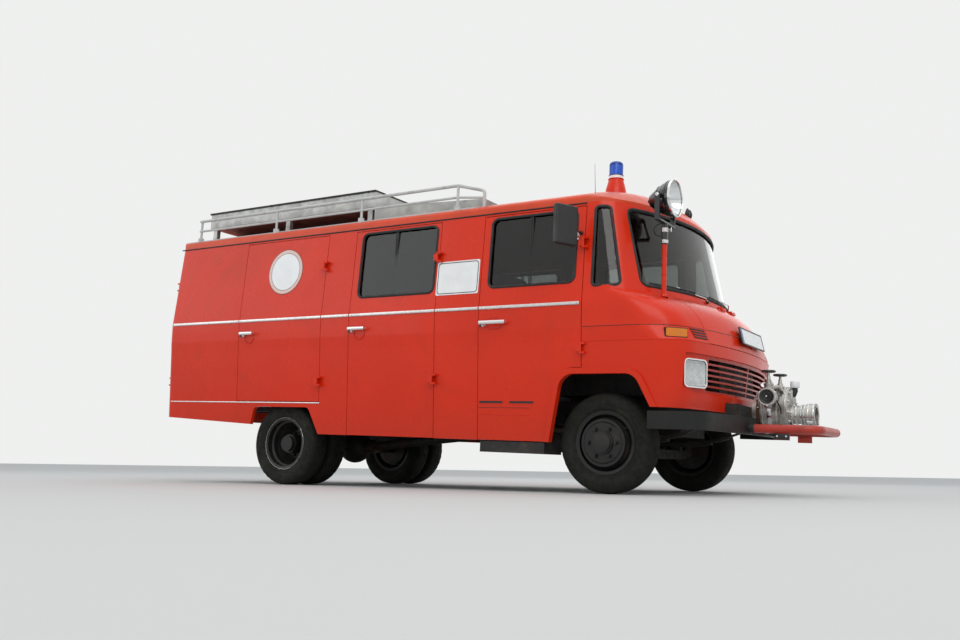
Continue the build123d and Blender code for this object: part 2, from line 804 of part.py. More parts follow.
with BuildPart() as indicators:
    add(lower_volume(-LAMP_PROUD))
    add(lower_volume(LAMP_IN), mode=Mode.SUBTRACT)
    add(indicator_prism(), mode=Mode.INTERSECT)
rear_lamp_y, rear_lamp_z = REAR_LAMP_AT
rear_lamp = block(
    (REAR_X - SEAT_GAP, REAR_X - REAR_LAMP_SIZE[0]),
    (-rear_lamp_y - REAR_LAMP_SIZE[1] / 2, -rear_lamp_y + REAR_LAMP_SIZE[1] / 2),
    (rear_lamp_z - REAR_LAMP_SIZE[2] / 2, rear_lamp_z + REAR_LAMP_SIZE[2] / 2),
)
with BuildPart() as lamps:
    add(both_sides(headlamp_prism(-HEADLAMP_DEPTH, 0)))
    add(both_sides(indicators.part))
    add(both_sides(rear_lamp))
write_raked(lamps.part, "lamps")

with BuildPart() as pane_shapes:
    extrude(front_window(SCREEN_HALF, -SCREEN_HALF, SCREEN_LOW, SCREEN_HIGH, 100, SEAT_GAP), amount=500)
    extrude(quarter_window(SEAT_GAP), amount=WIDE, both=True)
with BuildPart() as cab_glass:
    add(screen_volume(GLASS_OUT))
    add(screen_volume(GLASS_IN), mode=Mode.SUBTRACT)
    add(pane_shapes.part, mode=Mode.INTERSECT)
write_raked(cab_glass.part, "cab_glass")

# Bumper, with holes for the pump guard's legs and a notch under the pump
bumper_row = (BUMPER_LOW, BUMPER_FRONT, BUMPER_BOW_R, BUMPER_CORNER_R, BUMPER_HALF)
with BuildPart() as front_bumper:
    extrude(cab_outline(*bumper_row, 0, BUMPER_BACK), amount=BUMPER_HIGH - BUMPER_LOW)
    extrude(cab_outline(*bumper_row, BUMPER_THICK, BUMPER_BACK), amount=200, mode=Mode.SUBTRACT)
    for side in (-1, 1):
        rail_y = (side * (RAIL_Y - 22), side * (RAIL_Y + 22))
        add(block((RAIL_FRONT + SEAT_GAP, 795), rail_y, (RAIL_LOW - 20, BUMPER_HIGH)))
        add(along_x(GUARD_R + 1, 700, 900, side * GUARD_Y, GUARD_Z), mode=Mode.SUBTRACT)
    add(block((700, 900), (-165, 165), (505, 600)), mode=Mode.SUBTRACT)
write_raked(front_bumper.part, "front_bumper")


def leaf_sketch(middle, low, half_length, rise, plane):
    """Three concentric leaves of one spring, on a side view."""
    bend_r = (half_length**2 + rise**2) / (2 * rise)
    centre_z = low + 3 * LEAF + bend_r
    with BuildSketch(plane) as leaves:
        for count, share in enumerate((1, 0.75, 0.5)):
            turn = math.asin(half_length * share / bend_r)
            inner = bend_r + count * LEAF
            outer = inner + LEAF
            with BuildLine():
                ends = []
                for radius in (inner, outer):
                    left = (middle - radius * math.sin(turn), centre_z - radius * math.cos(turn))
                    right = (middle + radius * math.sin(turn), centre_z - radius * math.cos(turn))
                    ThreePointArc(left, (middle, centre_z - radius), right)
                    ends.append((left, right))
                Line(ends[0][0], ends[1][0])
                Line(ends[0][1], ends[1][1])
            make_face()
    return leaves.sketch


# Frame: two channel rails with cross-members, body mounts, leaf springs and side steps
with BuildPart() as ladder_frame:
    for side in (-1, 1):
        with BuildSketch(Plane.YZ.offset(RAIL_REAR)):
            with Locations((side * RAIL_Y, (RAIL_LOW + RAIL_HIGH) / 2)):
                Rectangle(RAIL_WIDTH, RAIL_HIGH - RAIL_LOW)
            with Locations((side * (RAIL_Y - RAIL_WALL), (RAIL_LOW + RAIL_HIGH) / 2)):
                Rectangle(RAIL_WIDTH, RAIL_HIGH - RAIL_LOW - 2 * RAIL_WALL, mode=Mode.SUBTRACT)
        extrude(amount=RAIL_FRONT - RAIL_REAR)
    for x in CROSSMEMBERS:
        inside = RAIL_Y + RAIL_WIDTH / 2 - RAIL_WALL / 2
        add(block((x - 30, x + 30), (-inside, inside), (RAIL_LOW + RAIL_WALL, RAIL_HIGH - RAIL_WALL)))
    for x in BODY_MOUNTS:
        mount = block((x - 40, x + 40), (-RAIL_Y - 28, -RAIL_Y + 28), (RAIL_HIGH, FLOOR_LOW - SEAT_GAP))
        add(both_sides(mount))
    guard_plate = block((740, RAIL_FRONT), (-GUARD_Y - 40, -GUARD_Y + 40), (GUARD_Z - 35, RAIL_LOW + 5))
    add(both_sides(guard_plate))
    for middle, low, half_length, rise in SPRINGS:
        spring_plane = Plane.XZ.offset(SPRING_Y - SPRING_WIDTH / 2)
        with BuildPart() as spring:
            extrude(leaf_sketch(middle, low, half_length, rise, spring_plane), amount=SPRING_WIDTH)
            for end_x in (middle - half_length, middle + half_length):
                hanger_low = low + 3 * LEAF + rise - 22
                hanger_y = (-SPRING_Y - SPRING_WIDTH / 2, -RAIL_Y + RAIL_WIDTH / 2 - 1)
                add(block((end_x - 28, end_x + 28), hanger_y, (hanger_low, RAIL_LOW + 5)))
        add(both_sides(spring.part))
    step = block((-950, -420), (-980, -720), (250, 330))
    add(both_sides(step))
    for x in (-900, -500):
        add(both_sides(block((x - 20, x + 20), (-725, -350), (270, 310))))
        add(both_sides(block((x - 20, x + 20), (-395, -350), (270, RAIL_LOW + 5))))
write_raked(ladder_frame.part, "ladder_frame")


def axle_seat(spring_x, spring_low, y, axle_top):
    """Block on an axle whose top face carries the spring at the frame's rake."""
    seat_x, seat_z = raked(spring_x, spring_low - SEAT_GAP)
    plane = Plane(origin=(seat_x, y, seat_z), x_dir=(1, 0, 0), z_dir=(0, 0, 1)).rotated((0, RAKE, 0))
    with BuildPart(plane) as seat:
        with Locations((0, 0, (axle_top - seat_z) / 2)):
            Box(AXLE_SEAT, SPRING_WIDTH, seat_z - axle_top)
    return seat.part


# Front axle: a dropped beam with kingpin eyes
with BuildPart() as front_axle_beam:
    eye_z = HUB_Z
    beam_top = ((-690, 380), (-640, 380), (-560, BEAM_HIGH), (560, BEAM_HIGH), (640, 380), (690, 380))
    beam_bottom = ((690, 312), (640, 312), (580, BEAM_LOW), (-580, BEAM_LOW), (-640, 312), (-690, 312))
    with BuildSketch(Plane.YZ.offset(-30)):
        with BuildLine():
            Polyline(*beam_top, *beam_bottom, close=True)
        make_face()
    extrude(amount=60)
    for side in (-1, 1):
        add(along_z(KINGPIN_R + 14, eye_z - EYE_HALF, eye_z + EYE_HALF, 0, side * KINGPIN_Y))
        add(block((-22, 22), (side * 670, side * 705), (312, 378)))
        add(axle_seat(*SPRINGS[0][:2], side * SPRING_Y, BEAM_HIGH - 10))
    for side in (-1, 1):
        pin_hole = along_z(KINGPIN_R + PIN_FIT, eye_z - 60, eye_z + 60, 0, side * KINGPIN_Y)
        add(pin_hole, mode=Mode.SUBTRACT)
write(front_axle_beam.part, "front_axle_beam")

# Knuckle: a fork on the kingpin with the wheel spindle
with BuildPart() as knuckle:
    fork_low = EYE_HALF + 0.5
    fork_high = EYE_HALF + 26
    add(along_z(KINGPIN_R, HUB_Z - fork_high, HUB_Z + fork_high, 0, -KINGPIN_Y))
    for side in (-1, 1):
        lug_z = (HUB_Z + side * fork_low, HUB_Z + side * fork_high)
        add(along_z(KINGPIN_R + 12, lug_z[0], lug_z[1], 0, -KINGPIN_Y))
        add(block((-25, 25), (-KINGPIN_Y - 46, -KINGPIN_Y), lug_z))
    add(block((-25, 25), (-KINGPIN_Y - 46, -KINGPIN_Y - 36), (HUB_Z - fork_high, HUB_Z + fork_high)))
    add(along_y(DRUM_R - 6, -KINGPIN_Y - 38, -KINGPIN_Y - 44, 0, HUB_Z))
    add(along_y(SPINDLE_R, -KINGPIN_Y - 36, -FRONT_WHEEL_Y - HUB_OUT + 20, 0, HUB_Z))
    pin_bush = along_z(KINGPIN_R, HUB_Z - fork_high, HUB_Z + fork_high, 0, -KINGPIN_Y)
    add(pin_bush)
right_knuckle, left_knuckle = both_sides(knuckle.part)
write(right_knuckle, "knuckle_right")
write(left_knuckle, "knuckle_left")

# Rear axle: tube, differential, hub spindles and propeller shaft
with BuildPart() as rear_axle:
    add(along_y(AXLE_TUBE_R, -570, 570, -WHEELBASE, HUB_Z))
    with Locations((-WHEELBASE, 0, HUB_Z)):
        Sphere(DIFF_R)
    add(along_x(62, -WHEELBASE, -WHEELBASE + 260, 0, HUB_Z))
    add(along_y(SPINDLE_R, -REAR_WHEEL_Y - 40, REAR_WHEEL_Y + 40, -WHEELBASE, HUB_Z))
    for side in (-1, 1):
        add(along_y(DRUM_R - 6, side * 548, side * 556, -WHEELBASE, HUB_Z))
        add(axle_seat(*SPRINGS[1][:2], side * SPRING_Y, HUB_Z + AXLE_TUBE_R - 12))
    shaft_x, shaft_z = raked(-606, 500)
    shaft_start = (-WHEELBASE + 240, 0, HUB_Z)
    shaft_run = (shaft_x - shaft_start[0], 0, shaft_z - HUB_Z)
    with BuildLine():
        Line(shaft_start, (shaft_x, 0, shaft_z))
    with BuildSketch(Plane(origin=shaft_start, z_dir=shaft_run)):
        Circle(38)
    sweep()
write(rear_axle.part, "rear_axle")


def rim_section(wheel_y, facing):
    """Half section of a wheel: barrel with flanges, dished disc and brake drum."""
    barrel = (
        (-RIM_HALF, FLANGE_R),
        (-73, FLANGE_R),
        (-68, RIM_R),
        (-25, RIM_R - 3),
        (-15, RIM_R - 18),
        (25, RIM_R - 18),
        (35, RIM_R - 3),
        (68, RIM_R),
        (73, FLANGE_R),
        (RIM_HALF, FLANGE_R),
        (RIM_HALF, FLANGE_R - 7),
        (74, RIM_R - 9),
        (39, RIM_R - 10),
        (28, RIM_R - 25),
        (-18, RIM_R - 25),
        (-29, RIM_R - 10),
        (-74, RIM_R - 9),
        (-RIM_HALF, FLANGE_R - 7),
    )
    disc = (
        (30, 183),
        (62, 172),
        (98, 152),
        (DISC_OUT, DISC_R),
        (DISC_OUT, HUB_R - 2),
        (DISC_OUT - DISC_THICK, HUB_R - 2),
        (DISC_OUT - DISC_THICK, 128),
        (90, 143),
        (56, 162),
        (24, 179),
    )
    with BuildSketch(Plane.YZ) as section:
        for points in (barrel, disc):
            with BuildLine():
                Polyline(*[(-wheel_y - facing * w, HUB_Z + r) for w, r in points], close=True)
            make_face()
    return section.sketch


def ring(wheel_y, spans):
    """Turned rings about a wheel's line: each span is start, end, inner and outer radius."""
    with BuildSketch(Plane.YZ) as section:
        for start, end, inner, outer in spans:
            with Locations((-wheel_y - (start + end) / 2, HUB_Z + (inner + outer) / 2)):
                Rectangle(abs(end - start), outer - inner)
    return section.sketch


def studs(wheel_y, start, stud_end, nut_end, facing):
    """Studs and nuts on the disc's face."""
    with BuildPart() as bolts:
        with BuildSketch(Plane.XZ.offset(wheel_y + start)):
            with Locations((0, HUB_Z)):
                with PolarLocations(STUD_CIRCLE_R, STUDS):
                    Circle(STUD_R)
        extrude(amount=(stud_end - start) * facing)
        with BuildSketch(Plane.XZ.offset(wheel_y + start)):
            with Locations((0, HUB_Z)):
                with PolarLocations(STUD_CIRCLE_R, STUDS):
                    RegularPolygon(NUT_R, 6)
        extrude(amount=(nut_end - start) * facing)
    return bolts.part


wheel_axis = Axis((0, 0, HUB_Z), (0, 1, 0))
bore_r = SPINDLE_R + PIN_FIT
with BuildPart() as front_rim:
    revolve(rim_section(FRONT_WHEEL_Y, 1), axis=wheel_axis)
    front_spans = (
        (DRUM_IN, DISC_OUT - DISC_THICK, DRUM_R - 12, DRUM_R),
        (DISC_OUT - 2 * DISC_THICK, DISC_OUT - DISC_THICK, bore_r, DRUM_R),
        (-20, HUB_OUT - 19, bore_r, 62),
        (DISC_OUT - 2 * DISC_THICK, HUB_OUT - 12, bore_r, HUB_R),
        (HUB_OUT - 19, HUB_OUT, 0, HUB_R - 12),
    )
    revolve(ring(FRONT_WHEEL_Y, front_spans), axis=wheel_axis)
    add(studs(FRONT_WHEEL_Y, DISC_OUT - 2, DISC_OUT + 26, DISC_OUT + 14, 1))
right_rim, left_rim = both_sides(front_rim.part)
write(right_rim, "front_rim_right")
write(left_rim, "front_rim_left")

with BuildPart() as rear_rims:
    inner_y = REAR_WHEEL_Y - 2 * DISC_OUT
    revolve(rim_section(REAR_WHEEL_Y, -1), axis=wheel_axis)
    revolve(rim_section(inner_y, 1), axis=wheel_axis)
    rear_spans = (
        (-DRUM_R - 110, -DISC_OUT - DISC_THICK, DRUM_R - 12, DRUM_R),
        (-DISC_OUT - 2 * DISC_THICK, -DISC_OUT - DISC_THICK, bore_r, DRUM_R),
        (-DISC_OUT - 2 * DISC_THICK, 20, bore_r, HUB_R),
        (20, 46, bore_r, HUB_R - 14),
        (42, 52, 0, HUB_R - 14),
    )
    revolve(ring(REAR_WHEEL_Y, rear_spans), axis=wheel_axis)
    disc_face = -DISC_OUT + DISC_THICK
    add(studs(REAR_WHEEL_Y, disc_face - 2, disc_face + 24, disc_face + 14, 1))
rear_rim_part = rear_rims.part.moved(Location((-WHEELBASE, 0, 0)))
right_rim, left_rim = both_sides(rear_rim_part)
write(right_rim, "rear_rims_right")
write(left_rim, "rear_rims_left")


def tyre(wheel_y):
    """Tyre: round sidewalls, rounded shoulders and a nearly flat crown."""
    half = (
        (66, RIM_R + SEAT_GAP),
        (70, RIM_R + 13),
        (72, FLANGE_R + 3),
        (RIM_HALF, FLANGE_R + 4),
    )
    with BuildPart() as ring_part:
        with BuildSketch(Plane.YZ):
            with BuildLine():
                for side in (-1, 1):
                    bead = [(-wheel_y + side * w, HUB_Z + r) for w, r in half]
                    Polyline(*bead)
                    wall = (-wheel_y + side * TYRE_HALF, HUB_Z + 272)
                    shoulder = (-wheel_y + side * 86, HUB_Z + 322)
                    ThreePointArc(bead[-1], wall, shoulder)
                    edge = (-wheel_y + side * 68, HUB_Z + TYRE_R - 4)
                    Line(shoulder, edge)
                Line((-wheel_y - 66, HUB_Z + RIM_R + SEAT_GAP), (-wheel_y + 66, HUB_Z + RIM_R + SEAT_GAP))
                crown = (-wheel_y, HUB_Z + TYRE_R)
                shoulder_z = HUB_Z + TYRE_R - 4
                ThreePointArc((-wheel_y - 68, shoulder_z), crown, (-wheel_y + 68, shoulder_z))
            make_face()
        revolve(axis=wheel_axis)
    return ring_part.part


right_tyre, left_tyre = both_sides(tyre(FRONT_WHEEL_Y))
write(right_tyre, "front_tyre_right")
write(left_tyre, "front_tyre_left")
with BuildPart() as rear_tyres:
    add(tyre(REAR_WHEEL_Y))
    add(tyre(inner_y))
rear_tyre_part = rear_tyres.part.moved(Location((-WHEELBASE, 0, 0)))
right_tyre, left_tyre = both_sides(rear_tyre_part)
write(right_tyre, "rear_tyres_right")
write(left_tyre, "rear_tyres_left")

# Under the body: engine with its mounts, radiator, fuel tank and exhaust
with BuildPart() as engine_block:
    add(block((-600, 300), (-250, 250), (420, 980)))
    add(block((-180, -120), (-392, 392), (560, 610)))
write_raked(engine_block.part, "engine_block")

with BuildPart() as radiator:
    add(block((575, 628), (-395, 395), (RAIL_HIGH + SEAT_GAP, 1000)))
write_raked(radiator.part, "radiator")

with BuildPart() as fuel_tank:
    add(block((-1900, -1200), (430, 880), (330, 560)))
    fillet(fuel_tank.edges().filter_by(Axis.X), 40)
    for x in (-1750, -1350):
        add(block((x - 25, x + 25), (400 + SEAT_GAP, 440), (RAIL_LOW + 5, 630)))
        add(block((x - 25, x + 25), (425, 445), (480, 630)))
write_raked(fuel_tank.part, "fuel_tank")

with BuildPart() as exhaust:
    pipe = (
        (-600 - SEAT_GAP, -200, 450),
        (-1050, -200, 450),
        (-1250, -520, 450),
        (-2280, -520, 450),
        (-2420, -900, 410),
    )
    add(tube_run(pipe, 60, 24))
    add(along_x(78, -1900, -1320, -520, 450))
    for x in (-1800, -1400):
        add(block((x - 15, x + 15), (-540, -350), (500, RAIL_LOW - SEAT_GAP)))
write_raked(exhaust.part, "exhaust")

# Floor with wheel housings, engine cover, firewall and bulkhead
with BuildPart() as floor_pan:
    with BuildSketch(Plane.XY.offset(FLOOR_LOW)) as floor_outline:
        with Locations(((FLOOR_FRONT + FLOOR_REAR) / 2, 0)):
            Rectangle(FLOOR_FRONT - FLOOR_REAR, 2 * FLOOR_HALF)
        rear_corners = floor_outline.vertices().group_by(Axis.X)[0]
        chamfer(rear_corners, REAR_CORNER_R - SKIN)
        for door, (front, rear, low, high) in SIDE_DOORS.items():
            relief_front = FLOOR_FRONT if door == "front_door" else front + FLOOR_RELIEF
            relief_length = relief_front - rear + FLOOR_RELIEF
            for side in (-1, 1):
                with Locations((relief_front - relief_length / 2, side * FLOOR_HALF)):
                    Rectangle(relief_length, 2 * FLOOR_RELIEF, mode=Mode.SUBTRACT)
    extrude(amount=FLOOR_HIGH - FLOOR_LOW)
    housing_out = FLOOR_HALF - FLOOR_RELIEF
    housing = block((HOUSING_REAR, HOUSING_FRONT), (-housing_out, -HOUSING_IN), (FLOOR_LOW, HOUSING_HIGH))
    add(both_sides(housing))
    add(block((COVER_REAR, FLOOR_FRONT), (-COVER_HALF, COVER_HALF), (FLOOR_LOW, COVER_HIGH)))
    firewall = block((FLOOR_FRONT - SHEET, FLOOR_FRONT), (-930, 930), (FLOOR_LOW, FIREWALL_HIGH))
    add(firewall)
    well = block(
        (HOUSING_REAR + SHEET, HOUSING_FRONT - SHEET),
        (-FLOOR_HALF - 1, -HOUSING_IN - SHEET),
        (FLOOR_LOW, HOUSING_HIGH - SHEET),
    )
    add(both_sides(well), mode=Mode.SUBTRACT)
    cover_x = (COVER_REAR + SHEET, FLOOR_FRONT - SHEET)
    add(
        block(cover_x, (SHEET - COVER_HALF, COVER_HALF - SHEET), (FLOOR_LOW, COVER_HIGH - SHEET)),
        mode=Mode.SUBTRACT,
    )
    bulkhead_z = (FLOOR_HIGH, BULKHEAD_HIGH)
    add(block((BULKHEAD_X - SHEET, BULKHEAD_X), (-BULKHEAD_HALF, BULKHEAD_HALF), bulkhead_z))
write_raked(floor_pan.part, "floor_pan")

# Dashboard with steering column and wheel
with BuildPart() as dashboard:
    with BuildSketch(Plane.XZ.offset(-900)):
        with BuildLine():
            dash_low = FIREWALL_HIGH + SEAT_GAP
            dash_back = ((300, 1330), (140, 1300), (100, 1120), (130, dash_low))
            Polyline((412, dash_low), (412, 1240), *dash_back, close=True)
        make_face()
    extrude(amount=1800)
    add(cab_volume(SKIN + 8), mode=Mode.INTERSECT)
    column_low = (170, 420, 1160)
    column_high = (-150, 420, 1262)
    column_dir = tuple(b - a for a, b in zip(column_low, column_high))
    wheel_plane = Plane(origin=column_high, z_dir=column_dir)
    with BuildSketch(Plane(origin=column_low, z_dir=column_dir)):
        Circle(22)
    extrude(amount=math.hypot(*column_dir))
    with BuildPart(wheel_plane) as steering_wheel:
        Torus(205, 14)
        Box(410, 26, 12)
        Cylinder(40, 26)
    add(steering_wheel.part)
write_raked(dashboard.part, "dashboard")

# Seats: rear edge, front edge, sides and cushion height
SEATS = ((-1010, -510, -880, -380), (-1010, -510, 380, 880), (-2440, -1940, -860, 860))
with BuildPart() as seats:
    for rear, front, right, left in SEATS:
        add(block((rear + 40, front - 40), (right + 30, left - 30), (FLOOR_HIGH + SEAT_GAP, 960)))
        add(block((rear, front), (right, left), (950, 1080)))
        add(block((rear - 20, rear + 90), (right, left), (1070, 1620)))
write_raked(seats.part, "seats")

# Pump on the front of the frame
with BuildPart() as pump_body:
    add(along_x(110, RAIL_FRONT + SEAT_GAP, 842, 0, PUMP_Z))
    add(along_x(150, 840, 960, 0, PUMP_Z))
    add(along_x(120, 958, 990, 0, PUMP_Z + 20))
    add(along_x(138, 985, 1020, 0, PUMP_Z + 30))
    add(along_x(64, 1018, 1140, 0, SUCTION_Z))
    add(along_x(80, 1130, SUCTION_END, 0, SUCTION_Z))
    for side in (-1, 1):
        add(along_y(44, 0, side * 225, OUTLET_X, OUTLET_Z))
        add(along_y(57, side * 222, side * OUTLET_END, OUTLET_X, OUTLET_Z))
        add(along_z(30, 640, 800, VALVE_X, side * VALVE_Y))
        add(along_z(9, 790, VALVE_TOP, VALVE_X, side * VALVE_Y))
    add(along_z(34, 650, 772, 1000, 0))
    add(along_x(SUCTION_BORE_R, SUCTION_END - SUCTION_DEPTH, SUCTION_END, 0, SUCTION_Z), mode=Mode.SUBTRACT)
write_raked(pump_body.part, "pump_body")

with BuildPart() as pump_handwheels:
    for side in (-1, 1):
        wheel_plane = Plane(origin=(VALVE_X, side * VALVE_Y, VALVE_TOP + SEAT_GAP + 9))
        with BuildPart(wheel_plane) as handwheel:
            Torus(42, 8)
            Box(84, 12, 8)
            Box(12, 84, 8)
            Cylinder(14, 18)
        add(handwheel.part)
write_raked(pump_handwheels.part, "pump_handwheels")

with BuildPart() as pump_guard:
    leg_x = RAIL_FRONT + SEAT_GAP
    hoop = (
        (leg_x, -GUARD_Y, GUARD_Z),
        (GUARD_FRONT, -GUARD_Y, GUARD_Z),
        (GUARD_FRONT, GUARD_Y, GUARD_Z),
        (leg_x, GUARD_Y, GUARD_Z),
    )
    add(tube_run(hoop, GUARD_CORNER_R, GUARD_R))
    for side in (-1, 1):
        add(block((985, 1085), (side * GUARD_Y - 6, side * GUARD_Y + 6), (GUARD_Z - 75, GUARD_Z)))
write_raked(pump_guard.part, "pump_guard")

# Mirrors on brackets of the front doors
with BuildPart() as mirror:
    mirror_plane = Plane(
        origin=(MIRROR_AT[0], -MIRROR_AT[1], MIRROR_AT[2]),
        x_dir=(math.cos(math.radians(MIRROR_TURN)), math.sin(math.radians(MIRROR_TURN)), 0),
        z_dir=(0, 0, 1),
    )
    with BuildPart(mirror_plane) as housing_block:
        Box(*MIRROR_SIZE)
        fillet(housing_block.edges(), 14)
    add(housing_block.part)
    foot_x, foot_z = MIRROR_FOOT
    add(along_y(9, -985, -MIRROR_AT[1], foot_x, foot_z))
    add(along_y(18, -985, -1026, foot_x, foot_z))
    add(rear_volume(-SEAT_GAP), mode=Mode.SUBTRACT)
right_mirror, left_mirror = both_sides(mirror.part)
write_raked(right_mirror, "mirror_right")
write_raked(left_mirror, "mirror_left")

# Roof rack: on each side a deck strip, posts and two rails
with BuildPart() as rack_side:
    deck_z = CROWN_Z - CROWN_R
    with BuildSketch(Plane.YZ.offset(DECK_REAR)):
        with Locations((0, deck_z)):
            Circle(CROWN_R + SEAT_GAP + DECK_THICK)
            Circle(CROWN_R + SEAT_GAP, mode=Mode.SUBTRACT)
        with Locations((-(DECK_OUT + DECK_IN) / 2, ROOF_Z)):
            Rectangle(DECK_OUT - DECK_IN, 300, mode=Mode.INTERSECT)
    extrude(amount=DECK_FRONT - DECK_REAR)
    for x in RACK_POSTS:
        add(along_z(RACK_POST_R, 2085, RACK_TOP_Z, x, -RACK_Y))
        add(along_z(26, 2085, 2125, x, -RACK_Y))
    rail_end = (RACK_POSTS[-1], -RACK_Y)
    front_y = -RACK_Y + 25
    top = (
        (RACK_POSTS[0] - 20, -RACK_Y, RACK_TOP_Z),
        (*rail_end, RACK_TOP_Z),
        (RACK_END_X, front_y, RACK_TOP_Z - 60),
        (RACK_END_X, front_y, 2085),
    )
    add(tube_run(top, 30, RACK_R))
    middle = (
        (RACK_POSTS[0] - 20, -RACK_Y, RACK_MID_Z),
        (*rail_end, RACK_MID_Z),
        (RACK_END_X, front_y, RACK_MID_Z - 20),
    )
    add(tube_run(middle, 30, RACK_MID_R))
    add(roof_clear, mode=Mode.SUBTRACT)
with BuildPart() as roof_rack:
    add(both_sides(rack_side.part))
write_raked(roof_rack.part, "roof_rack")

# Roof box with its lid
lid_hinge_y = -BOX_IN + LID_HINGE_GAP
with BuildPart() as roof_box:
    add(block((BOX_REAR, BOX_FRONT), (-BOX_OUT, -BOX_IN), (BOX_LOW, BOX_HIGH)))
    box_inside_y = (BOX_WALL - BOX_OUT, -BOX_WALL - BOX_IN)
    add(
        block((BOX_REAR + BOX_WALL, BOX_FRONT - BOX_WALL), box_inside_y, (BOX_LOW + BOX_WALL, BOX_HIGH)),
        mode=Mode.SUBTRACT,
    )
    for x in (BOX_REAR + 60, (BOX_REAR + BOX_FRONT) / 2, BOX_FRONT - 60):
        for y in (-BOX_OUT + 30, -BOX_IN - 30):
            add(block((x - 25, x + 25), (y - 20, y + 20), (2100, BOX_LOW + 2)))
    with BuildSketch(Plane.XZ.offset(BOX_IN + 20)):
        with BuildLine():
            Polyline((-2202, 2110), (-1100, 2110), (-1100, 2200), (-1850, 2236), (-2202, 2380), close=True)
        make_face()
    extrude(amount=BOX_OUT - BOX_IN - 20)
    for x in LID_HINGES:
        hinge_plane = Plane(origin=(x, lid_hinge_y, BOX_HIGH), x_dir=(0, 0, -1), z_dir=(-1, 0, 0))
        add(fixed_hinge(hinge_plane, LID_HINGE_GAP + 3))
    add(roof_clear, mode=Mode.SUBTRACT)
write_raked(roof_box.part, "roof_box")

with BuildPart() as roof_box_lid:
    lid_y = (-BOX_OUT - LID_LIP, -BOX_IN)
    add(block((BOX_REAR - LID_LIP, BOX_FRONT + 1), lid_y, (BOX_HIGH + 0.5, LID_HIGH)))
    for x in LID_HINGES:
        hinge_plane = Plane(origin=(x, lid_hinge_y, BOX_HIGH), x_dir=(0, 0, -1), z_dir=(-1, 0, 0))
        add(moving_hinge(hinge_plane, LID_HINGE_GAP + 8, 12))
write_raked(roof_box_lid.part, "roof_box_lid")

# Beacon on a cone-shaped pedestal
with BuildPart() as beacon_base:
    with BuildSketch(Plane.XZ):
        with BuildLine():
            base_side = ((0, 2240), (104, 2240), (82, 2400), (60, 2483))
            Polyline(*base_side, (BEACON_R, 2483), (BEACON_R, 2513), (0, 2513), close=True)
        make_face()
    revolve(axis=Axis.Z)
beacon_foot = beacon_base.part.moved(Location((BEACON_X, 0, 0))) - roof_clear
write_raked(beacon_foot, "beacon_base")

with BuildPart() as beacon_lamp:
    add(along_z(BEACON_R, 2513 + SEAT_GAP, 2631, BEACON_X, 0))
    fillet(beacon_lamp.edges().group_by(Axis.Z)[-1], 26)
write_raked(beacon_lamp.part, "beacon_lamp")

# Searchlight: pole, yoke on a turning sleeve, lamp head with its lens, and cable
with BuildPart() as searchlight_pole:
    add(along_z(POLE_R, POLE_LOW, SLEEVE_LOW, LIGHT_X, -LIGHT_Y))
    add(along_z(SPIGOT_R, SLEEVE_LOW - 5, SPIGOT_HIGH, LIGHT_X, -LIGHT_Y))
    add(cab_volume(-SEAT_GAP), mode=Mode.SUBTRACT)
write_raked(searchlight_pole.part, "searchlight_pole")

with BuildPart() as searchlight_yoke:
    add(along_z(SLEEVE_R, SLEEVE_LOW + SEAT_GAP, YOKE_LOW + 1, LIGHT_X, -LIGHT_Y))
    across = (-LIGHT_Y - YOKE_HALF, -LIGHT_Y + YOKE_HALF)
    add(block((LIGHT_X - 18, LIGHT_X + 18), across, (YOKE_LOW, YOKE_LOW + YOKE_THICK)))
    for side in (-1, 1):
        arm_y = (-LIGHT_Y + side * (YOKE_HALF - 8), -LIGHT_Y + side * YOKE_HALF)
        add(block((LIGHT_X - 18, LIGHT_X + 18), arm_y, (YOKE_LOW, TILT_Z)))
        add(along_y(18, arm_y[0], arm_y[1], LIGHT_X, TILT_Z))
        pin_end = -LIGHT_Y + side * (LENS_R + 4)
        add(along_y(TILT_PIN_R, arm_y[0], pin_end, LIGHT_X, TILT_Z))
    add(block((LIGHT_X - 29, LIGHT_X), (-LIGHT_Y - 10, -LIGHT_Y + 10), (1770, 1790)))
    spigot_hole = along_z(SPIGOT_R + PIN_FIT, SLEEVE_LOW, SPIGOT_HIGH + SEAT_GAP, LIGHT_X, -LIGHT_Y)
    add(spigot_hole, mode=Mode.SUBTRACT)
write_raked(searchlight_yoke.part, "searchlight_yoke")

with BuildPart() as searchlight_head:
    with BuildSketch(Plane.XZ):
        with BuildLine():
            outer_line = ((446, 130), (424, 130), (392, 122), (330, 92), (285, 58), (262, 40), (262, 0))
            inner_line = ((268, 0), (268, 36), (290, 53), (334, 87), (394, 117), (424, 125), (446, 125))
            Polyline(*outer_line, *inner_line, close=True)
        make_face()
    revolve(axis=Axis.X)
    for side in (-1, 1):
        add(along_y(20, side * 112, side * (YOKE_HALF - 8 - SEAT_GAP), LIGHT_X, 0))
        pin_start = side * (LENS_R + 4 - SEAT_GAP)
        pin_hole = along_y(TILT_PIN_R + PIN_FIT, pin_start, side * YOKE_HALF, LIGHT_X, 0)
        add(pin_hole, mode=Mode.SUBTRACT)
head_part = searchlight_head.part.moved(Location((0, -LIGHT_Y, TILT_Z)))
write_raked(head_part, "searchlight_head")

with BuildPart() as searchlight_lens:
    add(along_x(LENS_R - 5 - SEAT_GAP, LENS_X - 8, LENS_X - 3, -LIGHT_Y, TILT_Z))
write_raked(searchlight_lens.part, "searchlight_lens")

